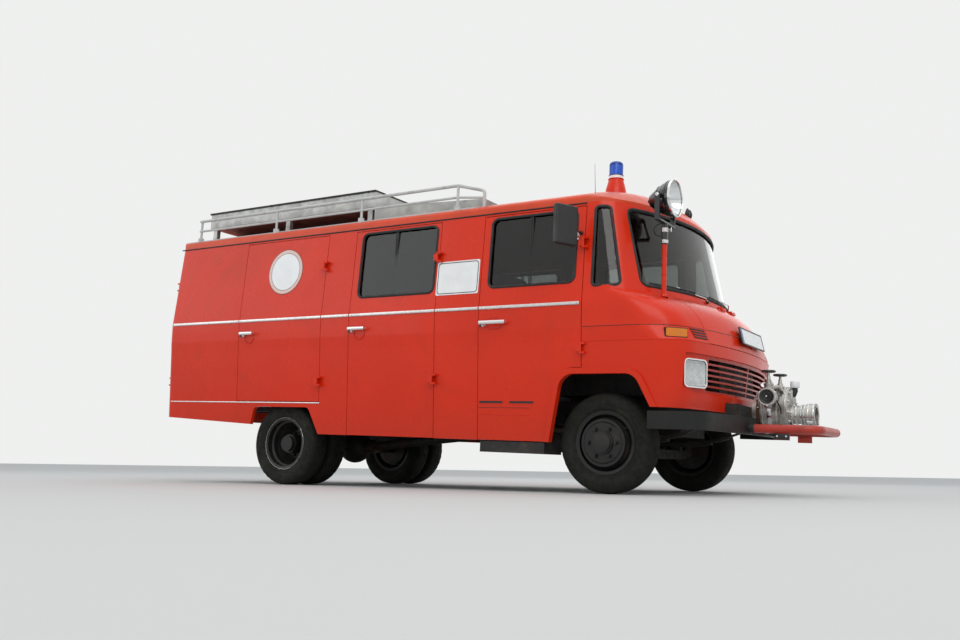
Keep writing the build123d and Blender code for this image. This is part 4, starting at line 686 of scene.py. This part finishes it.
def headlamp_glass(build, place):
    """Fluted glass, domed towards its edges, with a flat back."""
    flutes = [(-0.094 + 0.188 * k / FLUTES, FLUTE_DEEP if k % 2 else 0.0) for k in range(FLUTES + 1)]
    points = []
    for v in GLASS_LEVELS:
        for u, wave in flutes:
            dome = -0.001 - 0.004 * (abs(u) / GLASS_HALF[0]) ** 4 - 0.004 * (abs(v) / GLASS_HALF[1]) ** 4
            points.append((u, v, dome - wave))
    points += [(u, v, -0.0098) for v in GLASS_LEVELS for u, _ in flutes]
    wide, top = FLUTES + 1, len(GLASS_LEVELS) - 1
    back = len(points) // 2
    faces = []
    for j in range(top):
        for i in range(j * wide, j * wide + FLUTES):
            quad = (i, i + 1, i + wide + 1, i + wide)
            faces += [quad, tuple(back + q for q in reversed(quad))]
    rim = list(range(wide)) + [j * wide + FLUTES for j in range(1, top + 1)]
    rim += [top * wide + i for i in range(FLUTES - 1, -1, -1)] + [j * wide for j in range(top - 1, 0, -1)]
    build.add(points, faces + between(rim, [back + i for i in rim]), lamp_glass, place)


def lamps():
    build = Build()
    for _, side in SIDES:
        place = turned((0.61, side * 0.81, 0.822), 24, side)
        case = rounded(0.214, 0.192, 0.034)
        build.plate(case, -0.07, -0.012, black_and_shade, place)
        build.plate(case, -0.012, -0.001, chrome, place, rounded(0.196, 0.174, 0.027))
        build.plate(rounded(0.19, 0.168, 0.026), -0.012, -0.0105, machined, place)
        headlamp_glass(build, place)
        place = turned((0.524, side * 0.957, 1.078), 47, side)
        build.plate(rounded(0.158, 0.066, 0.01), -0.05, 0.006, black_and_shade, place)
        build.plate(rounded(0.146, 0.054, 0.008), 0.006, 0.012, orange_glass, place)
        for k in range(11):
            u = -0.0635 + 0.127 * k / 10
            build.box((u - 0.002, -0.024, 0.0118), (u + 0.002, 0.024, 0.0132), orange_glass, 0.0006, place)
        low, high = sorted((side * 0.775, side * 0.925))
        build.box((-4.4185, low, 0.495), (-4.4055, high, 0.565), black_and_shade, 0.004)
        build.box((-4.4305, low + 0.003, 0.498), (-4.4185, high - 0.003, 0.562), red_glass, 0.005)
        for k in range(9):
            y = low + 0.015 + 0.015 * k
            build.box((-4.4315, y - 0.001, 0.503), (-4.43, y + 0.001, 0.557), red_glass, 0.0004)
    build.done("lamp_units", "body", ["lamps"])


lamps()


# Mirrors: glass, rim and stays
def mirrors(name, side):
    build = Build()
    place = turned((-0.18, side * 1.215, 1.81), 205, side)
    build.plate(rounded(0.178, 0.268, 0.022), 0.0226, 0.0245, black_and_shade, place)
    build.plate(rounded(0.166, 0.256, 0.018), 0.0245, 0.0252, mirror_glass, place)
    stay = ((-0.163, 1.012, 1.792), (-0.15, 1.055, 1.76), (-0.155, 1.1, 1.79), (-0.172, 1.17, 1.845))
    build.tube([(x, side * y, z) for x, y, z in stay], 0.0055, chrome, 10)
    build.box((-0.205, side * 1.006, 1.742), (-0.145, side * 1.026, 1.792), red_paint, 0.003)
    for z in (1.752, 1.78):
        build.rod((-0.175, side * 1.026, z), (-0.175, side * 1.036, z), 0.008, machined, 6)
    build.done(f"mirror_glass_{name}", f"front_door_{name}")


mirrored(mirrors)

# Seats: crowned pads with sewn channels and piping, on boxed plinths; rear, front, right, left, places
SEATS = (("passenger_seat", -1.01, -0.51, -0.88, -0.38, 1), ("driver_seat", -1.01, -0.51, 0.38, 0.88, 1),
         ("crew_bench", -2.44, -1.94, -0.86, 0.86, 3))
PLINTH = (0.7365, 0.958)
CUSHION = (0.962, 1.088)
BACK_THICK = (-0.018, 0.088)
BACK = (1.082, 1.618)
PAD_STEPS = 16
PAD_POWER = 7
PULL_WIDE = 0.05
PULL_LONG = 0.04
CHANNELS = 5
SEAM_WIDE = 0.1
SEAM_DEEP = 0.14
CROWN = 0.1
PIPING_STEPS = 72
PIPING_IN = 0.965
PIPING_UP = 0.7


def pad(build, low, high, face_axis):
    """Cushion with crowned faces, sides that pull in between the corners, and channels across its face."""
    middle = (Vector(low) + Vector(high)) / 2
    half = (Vector(high) - Vector(low)) / 2
    wide_axis = 1
    long_axis = 3 - face_axis - wide_axis
    points, index, faces = [], {}, []

    def point(cell):
        if cell not in index:
            p = Vector([2 * c / PAD_STEPS - 1 for c in cell])
            q = p / sum(abs(c) ** PAD_POWER for c in p) ** (1 / PAD_POWER)
            q[wide_axis] *= 1 - PULL_WIDE * (1 - q[long_axis] ** 2)
            q[long_axis] *= 1 - PULL_LONG * (1 - q[wide_axis] ** 2)
            along = (q[long_axis] + 1) / 2 * CHANNELS
            if q[face_axis] > 0.3 and 0.5 < along < CHANNELS - 0.5:
                seam = exp(-((along - round(along)) / SEAM_WIDE) ** 2)
                q[face_axis] -= SEAM_DEEP * seam * max(0, 1 - q[wide_axis] ** 6)
            q[face_axis] *= 1 - CROWN + CROWN * (1 - q[wide_axis] ** 2) * (1 - q[long_axis] ** 2)
            index[cell] = len(points)
            points.append([middle[i] + q[i] * half[i] for i in range(3)])
        return index[cell]

    for fixed in range(3):
        one, two = [axis for axis in range(3) if axis != fixed]
        for level in (0, PAD_STEPS):
            for i in range(PAD_STEPS):
                for j in range(PAD_STEPS):
                    corners = []
                    for di, dj in ((0, 0), (1, 0), (1, 1), (0, 1)):
                        cell = [0, 0, 0]
                        cell[fixed], cell[one], cell[two] = level, i + di, j + dj
                        corners.append(point(tuple(cell)))
                    faces.append(corners)
    build.add(points, faces, seat_cloth)
    outline = []
    for c, s in circle(1, PIPING_STEPS):
        size = (abs(c) ** PAD_POWER + abs(s) ** PAD_POWER) ** (1 / PAD_POWER)
        a, b = c / size, s / size
        place = list(middle)
        place[long_axis] += a * half[long_axis] * PIPING_IN * (1 - PULL_LONG * (1 - b * b))
        place[wide_axis] += b * half[wide_axis] * PIPING_IN * (1 - PULL_WIDE * (1 - a * a))
        place[face_axis] += half[face_axis] * PIPING_UP
        outline.append(place)
    build.tube(outline, 0.006, seat_vinyl, 8, closed=True)


def seats():
    plinths = Build()
    for name, rear, front, right, left, places in SEATS:
        low, high = (rear + 0.04, right + 0.03, PLINTH[0]), (front - 0.04, left - 0.03, PLINTH[1])
        plinths.box(low, high, plastic_black, 0.012)
        width = (left - right) / places
        for k in range(places):
            here = (right + k * width + 0.003, right + (k + 1) * width - 0.003)
            number = f"_{k + 1}" if places > 1 else ""
            build = Build()
            pad(build, (rear + 0.075, here[0], CUSHION[0]), (front, here[1], CUSHION[1]), 2)
            build.done(f"{name}_cushion{number}", "body", ["seats"], 60)
            build = Build()
            pad(build, (rear + BACK_THICK[0], here[0], BACK[0]), (rear + BACK_THICK[1], here[1], BACK[1]), 0)
            build.done(f"{name}_back{number}", "body", ["seats"], 60)
    plinths.done("seat_plinths", "body", ["seats"])


seats()

# Searchlight: reflector, bulb, chrome rim, clamps and its cable
LIGHT = Vector((0.368, -0.79, 2.034))
LIGHT_RIM = ((0.1235, 0.4435), (0.1255, 0.4478), (0.129, 0.449), (0.1318, 0.4465), (0.1325, 0.438),
             (0.131, 0.432), (0.1302, 0.433), (0.1302, 0.4435))
LIGHT_BAND = ((-0.002, -0.003), (0.0012, -0.002), (0.0028, 0.002), (0.001, 0.003), (-0.002, 0.003))
CABLE_POINTS = ((0.3497, -0.79, 1.866), (0.29, -0.79, 1.866), (0.29, -0.79, 1.78), (0.3387, -0.79, 1.78))


def searchlight():
    build = Build()
    x, y, z = LIGHT
    axis = (0, y, z)
    bowl = [(0.119 * sqrt(k / 10), 0.33 + 0.104 * k / 10) for k in range(11)]
    back = [(radius + 0.0015, along - 0.0015) for radius, along in reversed(bowl)]
    build.lathe(bowl + [(0.1225, 0.434)] + back, chrome, axis, FRONT, 48)
    build.rod((0.334, y, z), (0.372, y, z), 0.011, lamp_glass, 20)
    build.ring(LIGHT_RIM, chrome, axis, FRONT, 64)
    for along, radius in ((0.405, 0.1262), (0.372, 0.1115), (0.335, 0.0955)):
        band = [(radius + out, along + on) for out, on in LIGHT_BAND]
        build.ring(band, black_gloss, axis, FRONT, 48)
    build.rod((0.262, y, z), (0.244, y, z), 0.016, black_gloss, 20, 0.012)
    build.box((0.425, y - 0.01, z + 0.127), (0.449, y + 0.01, z + 0.139), chrome, 0.002)
    build.done("searchlight_fittings", "searchlight_lamp")
    build = Build()
    for low, high, radius in ((1.722, 1.748, 0.0245), (1.8, 1.832, 0.0235)):
        collar = ((0.0205, low), (radius, low + 0.002), (radius, high - 0.002), (0.0205, high))
        build.ring(collar, machined, (x, y, 0), UP, 28)
    build.rod((x + 0.02, y, 1.816), (x + 0.046, y, 1.816), 0.0055, machined, 12)
    build.box((x + 0.044, y - 0.004, 1.8), (x + 0.05, y + 0.004, 1.832), machined, 0.0015)
    build.rod((x, y - 0.02, 1.735), (x, y - 0.036, 1.735), 0.005, machined, 10)
    for side in (-1, 1):
        build.lathe(((0, 0), (0.013, 0), (0.013, 0.006), (0.009, 0.009), (0, 0.009)), machined,
                    (x, y + side * 0.148, z), (0, side, 0), 20)
    build.done("searchlight_clamps", "searchlight_turret")
    build = Build()
    foot = ((0.0175, 0), (0.033, 0), (0.033, 0.004), (0.022, 0.007), (0.0175, 0.02))
    here = cast_ray("cab_front", (x, y, 1.9), DOWN)
    build.ring(foot, red_paint, (x, y, here.z - 0.003), UP, 32)
    build.done("searchlight_pole_foot", "body")


def searchlight_cord():
    curve = bpy.data.curves.new("searchlight_lead", "CURVE")
    curve.dimensions = "3D"
    curve.bevel_depth = 0.004
    curve.bevel_resolution = 4
    curve.resolution_u = 24
    curve.use_fill_caps = True
    spline = curve.splines.new("NURBS")
    spline.points.add(len(CABLE_POINTS) - 1)
    for point, place in zip(spline.points, CABLE_POINTS):
        point.co = (*(RAKED @ Vector(place)), 1)
    spline.order_u = 3
    spline.use_endpoint_u = True
    curve.materials.append(rubber)
    lead = linked("searchlight_lead", curve)
    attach(lead, "searchlight_turret")
    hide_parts("searchlight_cable")


searchlight()
searchlight_cord()

# Beacon: white ring, rubber seat and red foot round the blue dome
BEACON_X = -0.372
BEACON_RINGS = ((((0.0572, 2.486), (0.0592, 2.488), (0.0592, 2.51), (0.0572, 2.512)), white_gloss),
                (((0.0572, 2.512), (0.0605, 2.512), (0.0605, 2.517), (0.0572, 2.518)), rubber),
                (((0.06, 2.4828), (0.0655, 2.4828), (0.0655, 2.487), (0.06, 2.488)), red_paint))


def beacon():
    build = Build()
    for section, material in BEACON_RINGS:
        build.ring(section, material, (BEACON_X, 0, 0), UP, 48)
    build.done("beacon_rings", "body")


beacon()

# Nose: louvres with painted shade in their openings, a black line of painted shade along the crease, the
# raised fold below it, and the blank number plate
LOUVRES = 4
LOUVRE_Z = 1.058
LOUVRE_STEP = 0.0185
# Height of the black line of painted shade along the crease
CREASE_SHADE_Z = 1.1285
RIDGE_Z = 1.031
PLATE_Z = 1.142


def on_nose(node, first, last, z, steps, lift):
    """Level line across the front of a node, from one width to another."""
    return laid(node, row((0.4, first, z), (0.4, last, z), steps), REAR, lift)


def round_corner(z, side, lift):
    """Line at one height from the door round the corner to the louvres and on under them."""
    line = []
    for k in range(14):
        seen = cast_ray("cab_front", (-0.12 + 0.032 * k, side * 2, z), (0, -side, 0))
        if seen is not None:
            line.append(seen + Vector((0, side * lift, 0)))
    for k in range(16):
        angle = radians(82 - 4.4 * k)
        way = Vector((cos(angle), side * sin(angle), 0))
        seen = cast_ray("cab_front", Vector((0.3, side * 0.6, z)) + way, -way)
        if seen is not None and abs(seen.y) > 0.86:
            line.append(seen + way * lift)
    return line + on_nose("cab_front", side * 0.85, side * 0.7, z, 8, lift)


def nose(name, side):
    build = Build()
    for k in range(LOUVRES):
        z = LOUVRE_Z + LOUVRE_STEP * k
        # Painted shade: a black line in each louvre's opening, under its red lip
        slit_shade = on_nose("cab_front", side * 0.706, side * 0.845, z, 8, 0.0008)
        build.tube(slit_shade, 0.0052, black_and_shade, 8)
        lip = on_nose("cab_front", side * 0.703, side * 0.848, z + 0.0085, 8, 0.0012)
        build.tube(lip, 0.0042, red_paint, 8)
    build.done(f"louvres_{name}", "body")
    build = Build()
    # Painted shade along the crease as a thin black line, and the raised red fold below it
    build.tube(round_corner(CREASE_SHADE_Z, side, 0.0003), 0.0022, black_and_shade, 6)
    build.tube(round_corner(RIDGE_Z, side, -0.0008), 0.0042, red_paint, 8)
    build.done(f"cab_crease_shade_and_fold_{name}", "body")


def bonnet_trim():
    build = Build()
    # Painted shade along the crease across the bonnet as a thin black line
    build.tube(on_nose("bonnet", -0.682, 0.682, CREASE_SHADE_Z, 36, 0.0002), 0.0022, black_and_shade, 6)
    x = cast_ray("bonnet", (3, 0, 1.15), REAR).x
    tilt = Matrix.Translation((x + 0.022, 0, PLATE_Z)) @ Matrix.Rotation(radians(-14), 4, "Y")
    place = tilt @ turned((0, 0, 0), 0, 1)
    board, face = rounded(0.532, 0.126, 0.01), rounded(0.514, 0.108, 0.008)
    build.plate(board, -0.006, 0.0, black_and_shade, place)
    build.plate(board, 0.0, 0.0035, black_and_shade, place, face)
    build.plate(face, 0.0, 0.0015, white_gloss, place)
    build.plate([(u - 0.236, v) for u, v in rounded(0.04, 0.106, 0.007)], 0.0015, 0.0019, plate_blue, place)
    for y in (-0.16, 0.16):
        build.rod((x - 0.012, y, PLATE_Z), (x + 0.02, y, PLATE_Z), 0.008, machined, 12)
        screw = ((0, 0.0015), (0.006, 0.0015), (0.0045, 0.0035), (0, 0.004))
        build.lathe(screw, machined, (y, 0, 0), UP, 14, place)
    build.done("number_plate_and_crease_shade", "bonnet")


mirrored(nose)
bonnet_trim()

# Step slots as black painted shade in red lips, a black line of painted shade along a groove, and a raised
# ridge, low on each front door
# Height, radius, proudness and material of the groove's black line of painted shade and of the raised ridge
GROOVE_SHADE_AND_RIDGE = ((0.568, 0.0016, 0.0002, black_and_shade), (0.52, 0.0032, -0.0008, red_paint))
STEP_Z = 0.608
STEP_SIZE = (0.2, 0.016)


def door_pressings(name, side):
    build = Build()
    # Painted shade: a black plate in each step slot, framed by a red lip
    slot = rounded(*STEP_SIZE, 0.0075)
    lip = rounded(STEP_SIZE[0] + 0.008, STEP_SIZE[1] + 0.008, 0.0115)
    for x in (-0.6, -0.855):
        place = side_place(x, STEP_Z, side, 0.0003)
        build.plate(slot, 0, 0.001, black_and_shade, place)
        build.plate(lip, 0, 0.0022, red_paint, place, slot)
    for z, radius, proud, material in GROOVE_SHADE_AND_RIDGE:
        y = side * (skin(z) + proud)
        build.tube(row((-0.535, y, z), (-0.962, y, z), 4), radius, material, 8)
    build.done(f"front_door_pressings_{name}", f"front_door_{name}")


mirrored(door_pressings)

# Wipers, two small fittings on the brow, and the aerial
WIPERS = ((-0.79, -0.33, -0.2), (-0.12, 0.42, 0.5))
BROW_FITTING = ((0, -0.004), (0.015, -0.004), (0.019, 0.012), (0.02, 0.026), (0.014, 0.046), (0.005, 0.062),
                (0, 0.063))
AERIAL_FOOT = ((0, -0.004), (0.02, -0.002), (0.018, 0.01), (0.008, 0.022), (0.004, 0.04), (0, 0.04))


def cab_fittings():
    build = Build()
    for first, last, pivot in WIPERS:
        blade = laid("cab_glass", row((0, first, 1.452), (0, last, 1.452), 12), REAR, 0.009)
        build.tube(blade, 0.0055, black_and_shade, 8)
        foot = cast_ray("cab_front", (3, pivot, 1.4), REAR)
        middle = blade[6] + Vector((0.01, 0, 0.004))
        reach = middle.y - foot.y
        arm = [foot + Vector((0.012, 0, 0)), foot + Vector((0.026, 0.25 * reach, 0.012)),
               middle + Vector((0.012, -0.35 * reach, -0.008)), middle]
        build.tube(arm, 0.0045, chrome, 8)
        build.rod(foot - Vector((0.004, 0, 0)), foot + Vector((0.02, 0, 0)), 0.013, black_and_shade, 18, 0.01)
    for y in (0.03, 0.08):
        seat = cast_ray("roof_panel", (0.225, y, 3), DOWN)
        build.lathe(BROW_FITTING, black_and_shade, seat, UP, 24)
    seat = cast_ray("roof_panel", (-0.36, -0.4, 3), DOWN)
    build.lathe(AERIAL_FOOT, rubber, seat, UP, 20)
    build.rod(seat + Vector((0, 0, 0.03)), seat + Vector((-0.01, 0, 0.27)), 0.0022, black_and_shade, 8, 0.0012)
    build.done("wipers_horns_aerial", "body")


cab_fittings()

# Pump: flange bolts, clamp band, ribs, outlet caps, coupling rings, pipes and taps
PUMP_Z = 0.62
COVER_Z = 0.65
INLET_Z = 0.6
OUTLET = Vector((0.92, 0, 0.71))
OUTLET_CAP = ((0, 0.0), (0.05, 0.0), (0.05, 0.006), (0.046, 0.009), (0.034, 0.005), (0.03, 0.009),
              (0.014, 0.006), (0.01, 0.012), (0, 0.013))
GLAND = ((0, 0.795), (0.034, 0.795), (0.034, 0.806), (0.022, 0.812), (0.02, 0.83), (0.014, 0.836),
         (0.0125, 0.862), (0, 0.862))
FILLER_CAP = ((0, 0), (0.03, 0), (0.032, 0.004), (0.032, 0.04), (0.029, 0.046), (0, 0.047))
GAUGE = ((0, 0), (0.034, 0), (0.034, 0.02), (0.029, 0.022), (0.029, 0.019), (0, 0.019))
NUT_WAY = (0, 0.3, 1)
PIPES = (
    (((0.8, -0.08, 0.7), (0.8, -0.09, 0.745), (0.835, -0.08, 0.765), (0.85, -0.055, 0.785)),
     0.006, chrome),
    (((0.86, -0.1, 0.735), (0.845, -0.14, 0.72), (0.83, -0.15, 0.68), (0.822, -0.128, 0.64)),
     0.007, cast),
    (((0.975, -0.11, 0.6), (0.985, -0.165, 0.64), (0.965, -0.19, 0.69), (0.935, -0.165, 0.705)),
     0.005, black_and_shade),
    (((0.965, -0.06, 0.77), (0.99, -0.095, 0.755), (1.005, -0.11, 0.715)), 0.008, cast),
)


def around(middle, radius, degrees, across=(0, 1, 0)):
    """Spot on an upright circle, at this angle from the way across towards the top."""
    angle = radians(degrees)
    return Vector(middle) + radius * (cos(angle) * Vector(across) + sin(angle) * Vector(UP))


def bolts(build, x, y, z, circle_r, count, way, radius, start=0.0):
    """Hexagon bolt heads round a flange."""
    turn = Vector(way).normalized().to_track_quat("Z", "Y").to_matrix()
    head = ((0, -0.001), (radius, -0.001), (radius, 0.007), (radius * 0.8, 0.009), (0, 0.009))
    end = ((0, 0.006), (radius * 0.5, 0.006), (radius * 0.45, 0.013), (0, 0.014))
    for k in range(count):
        angle = start + 2 * pi * k / count
        place = Vector((x, y, z)) + turn @ Vector((circle_r * cos(angle), circle_r * sin(angle), 0))
        build.lathe(head, machined, place, way, 6)
        build.lathe(end, machined, place, way, 10)


def hoop(build, x, z, radius, wide, thick, material, way=FRONT, y=0.0):
    """Raised band round a turned body."""
    band = ((radius - 0.003, -wide / 2), (radius + thick * 0.8, -wide / 2), (radius + thick, -wide * 0.35),
            (radius + thick, wide * 0.35), (radius + thick * 0.8, wide / 2), (radius - 0.003, wide / 2))
    build.ring(band, material, (x, y, z), way, 56)


def outlet(build, side):
    """Coupling, cap and claws of one outlet."""
    way = (0, side, 0)
    x, _, z = OUTLET
    hoop(build, x, z, 0.044, 0.01, 0.008, cast, way, side * 0.185)
    hoop(build, x, z, 0.057, 0.01, 0.004, machined, way, side * 0.232)
    hoop(build, x, z, 0.057, 0.008, 0.003, machined, way, side * 0.262)
    build.lathe(OUTLET_CAP, black_and_shade, (x, side * 0.268, z), way, 40)
    build.stud((x, side * 0.28, z), way, 0.007, 0.006, 0.005, 0.006, 16)
    for k in range(3):
        spot = around((x, side * 0.25, z), 0.059, 30 + 120 * k, FRONT)
        build.rod(spot - Vector((0, 0.014, 0)), spot + Vector((0, 0.014, 0)), 0.008, machined, 12)


def valve(build, side):
    """Gland and neck under one handwheel."""
    x, y = 0.9, side * 0.15
    build.lathe(GLAND, cast, (x, y, 0), UP, 28)
    bolts(build, x, y, 0.806, 0.028, 4, UP, 0.005, 0.4)
    neck = [(x + 0.012, y * 0.9, 0.77), (x + 0.045, y * 0.62, 0.79), (0.96, y * 0.35, 0.775),
            (0.985, y * 0.2, 0.74)]
    build.tube(neck, 0.016, cast, 14)
    build.stud((x, y, 0.882), UP, 0.007, 0.0065, 0.008, 0.01, 14)


def inlet(build):
    """Coupling rings, lugs and claws of the inlet."""
    for x, thick in ((1.035, 0.009), (1.062, 0.009), (1.1, 0.013), (1.122, 0.013)):
        hoop(build, x, INLET_Z, 0.064, 0.012, thick, machined)
    for x, wide in ((1.18, 0.012), (1.145, 0.008)):
        hoop(build, x, INLET_Z, 0.08, wide, 0.003, machined)
    for degrees in (40, 220):
        spot = around((1.158, 0, INLET_Z), 0.084, degrees)
        build.rod(spot - Vector((0.02, 0, 0)), spot + Vector((0.022, 0, 0)), 0.012, machined, 14)
    for degrees in (115, 295):
        spot = around((1.19, 0, INLET_Z), 0.064, degrees)
        build.box(spot - Vector((0.001, 0.014, 0.01)), spot + Vector((0.009, 0.014, 0.01)), machined, 0.002)
    disc = ((0, 0.004), (0.05, 0.004), (0.05, 0.006), (0, 0.006))
    build.lathe(disc, black_and_shade, (1.09, 0, INLET_Z), FRONT, 40)


def pump():
    build = Build()
    hoop(build, 0.812, PUMP_Z, 0.11, 0.026, 0.006, brown_band)
    hoop(build, 0.833, PUMP_Z, 0.11, 0.014, 0.016, cast)
    for x in (0.85, 0.95):
        hoop(build, x, PUMP_Z, 0.15, 0.014, 0.008, cast)
    hoop(build, 0.9, PUMP_Z, 0.15, 0.03, 0.003, machined)
    bolts(build, 0.856, 0, PUMP_Z, 0.131, 10, REAR, 0.008)
    bolts(build, 1.019, 0, COVER_Z, 0.122, 10, FRONT, 0.01, 0.3)
    hoop(build, 1.003, COVER_Z, 0.138, 0.01, 0.003, cast)
    inlet(build)
    for side in (-1, 1):
        outlet(build, side)
        valve(build, side)
    build.lathe(FILLER_CAP, white_gloss, (1.04, 0.012, 0.79), UP, 32)
    elbow = [(1.04, 0.012, 0.794), (1.042, 0.01, 0.768), (1.034, 0.006, 0.742), (1.008, 0.0, 0.728)]
    build.tube(elbow, 0.019, black_and_shade, 16)
    build.rod((1.0, 0, 0.735), (1.0, 0, 0.785), 0.026, cast, 20)
    bolts(build, 1.0, 0, 0.784, 0.017, 4, UP, 0.006)
    build.lathe(GAUGE, machined, (0.842, -0.045, 0.79), (0.35, -0.55, 0.76), 28)
    for points, radius, material in PIPES:
        build.tube(points, radius, material, 12)
        nut = ((0, -0.006), (radius + 0.005, -0.006), (radius + 0.005, 0.006), (0, 0.006))
        for end in (points[0], points[-1]):
            build.lathe(nut, machined, end, NUT_WAY, 6)
    build.box((0.862, -0.08, 0.752), (0.95, 0.03, 0.776), cast, 0.006)
    for x, y in ((0.876, -0.066), (0.936, -0.066), (0.876, 0.016), (0.936, 0.016)):
        build.stud((x, y, 0.776), UP, 0.008, 0.008, 0.006, 0.007, 6)
    build.done("pump_fittings", "body")


def guard():
    """Black bands round the guard's ends, and the bracket bolted to it."""
    build = Build()
    band = ((0.0301, 0.776), (0.0318, 0.776), (0.0318, 0.85), (0.0301, 0.852))
    for side in (-1, 1):
        build.ring(band, black_and_shade, (0, side * 0.31, 0.487), FRONT, 28)
    build.box((0.985, -0.322, 0.416), (1.085, -0.3165, 0.455), black_and_shade, 0.002)
    for x in (1.005, 1.065):
        build.stud((x, -0.3215, 0.438), (0, -1, 0), 0.008, 0.007, 0.005, 0.006, 6)
    build.done("guard_fittings", "body")


pump()
guard()

# Rim edges, rubbed bright on the rear wheels, and valve stems
RIM_EDGE = ((0.2135, -0.001), (0.2165, 0.0006), (0.218, -0.0012), (0.218, -0.004), (0.2135, -0.004))
RIMS = (("front_wheel", 0.0, 0.811 + 0.079, wheel_black), ("rear_wheels", -WHEELBASE, 0.85 + 0.079, alloy))


def wheel_details(name, side):
    for wheel, x, y, material in RIMS:
        build = Build(LEVEL)
        build.ring(RIM_EDGE, material, (x, side * y, HUB), (0, side, 0), 72)
        stem = Vector((x + 0.15, side * (y - 0.03), HUB + 0.095))
        build.rod(stem, stem + Vector((0.004, side * 0.03, 0.004)), 0.0042, black_and_shade, 10)
        build.done(f"rim_edge_{wheel}_{name}", f"{wheel}_{name}")


mirrored(wheel_details)

# Floor
FLOOR_HALF = 60
ground = bpy.data.meshes.new("floor")
corners = [(x * FLOOR_HALF, y * FLOOR_HALF, 0) for x, y in ((-1, -1), (1, -1), (1, 1), (-1, 1))]
ground.from_pydata(corners, [], [(0, 1, 2, 3)])
floor = linked("floor", ground)
floor_pale = bpy.data.materials.new("pale floor")
floor_pale.use_nodes = True
matt = floor_pale.node_tree.nodes["Principled BSDF"]
set_inputs(matt, {"Base Color": (0.56, 0.56, 0.54, 1), "Roughness": 0.9})
ground.materials.append(floor_pale)

# Backdrop: camera, glossy and transmission rays see a plain pale one, all others a softer bluish light
world = bpy.data.worlds.new("studio")
bpy.context.scene.world = world
world.use_nodes = True
nodes, links = world.node_tree.nodes, world.node_tree.links
backdrop = nodes["Background"]
set_inputs(backdrop, {"Color": (0.9, 0.94, 1.0, 1), "Strength": 0.8})
plain = nodes.new("ShaderNodeBackground")
set_inputs(plain, {"Color": (0.86, 0.87, 0.86, 1), "Strength": 1.0})
paths = nodes.new("ShaderNodeLightPath")
mixed = nodes.new("ShaderNodeMixShader")
shown = paths.outputs["Is Camera Ray"]
for ray in ("Is Transmission Ray", "Is Glossy Ray"):
    either = nodes.new("ShaderNodeMath")
    either.operation = "MAXIMUM"
    links.new(shown, either.inputs[0])
    links.new(paths.outputs[ray], either.inputs[1])
    shown = either.outputs[0]
links.new(shown, mixed.inputs["Fac"])
links.new(backdrop.outputs[0], mixed.inputs[1])
links.new(plain.outputs[0], mixed.inputs[2])
links.new(mixed.outputs[0], nodes["World Output"].inputs["Surface"])

# Lamps: name, place, size, power and colour, all turned towards the object
LAMPS = (
    ("key", (6.0, -7.0, 7.5), (8.0, 5.0), 330, (1.0, 0.98, 0.95)),
    ("sky", (0.0, 0.0, 9.0), (14.0, 8.0), 200, (0.92, 0.96, 1.0)),
    ("fill", (-7.0, -6.0, 4.0), (6.0, 4.0), 70, (0.95, 0.97, 1.0)),
    ("back", (-2.0, 8.0, 5.0), (10.0, 4.0), 90, (1.0, 1.0, 1.0)),
)
AIM = Vector((0, 0, 0.8))
for name, place, size, power, color in LAMPS:
    data = bpy.data.lights.new(name, "AREA")
    data.shape = "RECTANGLE"
    data.size, data.size_y = size
    data.energy = power
    data.color = color
    lamp = linked(name, data)
    lamp.location = place
    lamp.rotation_euler = (AIM - Vector(place)).to_track_quat("-Z", "Y").to_euler()

# Camera, fitted to the photograph; its focal length is in pixels of a picture 960 wide
YAW, PITCH, ROLL = 2.14184606, 0.157781724, -0.0155387329
EYE = (2.73656 + MID, -6.74565, 0.15912)
FOCAL = 933.33
look = Vector((cos(PITCH) * cos(YAW), cos(PITCH) * sin(YAW), sin(PITCH)))
right = look.cross(Vector(UP)).normalized()
down = look.cross(right)
right, down = (cos(ROLL) * right + sin(ROLL) * down, cos(ROLL) * down - sin(ROLL) * right)
camera_data = bpy.data.cameras.new("camera")
camera_data.sensor_width = 36
camera_data.lens = FOCAL / 960 * 36
camera = linked("camera", camera_data)
camera.matrix_world = framed(EYE, right, -down, -look)
bpy.context.scene.camera = camera
bpy.context.scene.view_settings.view_transform = "Standard"
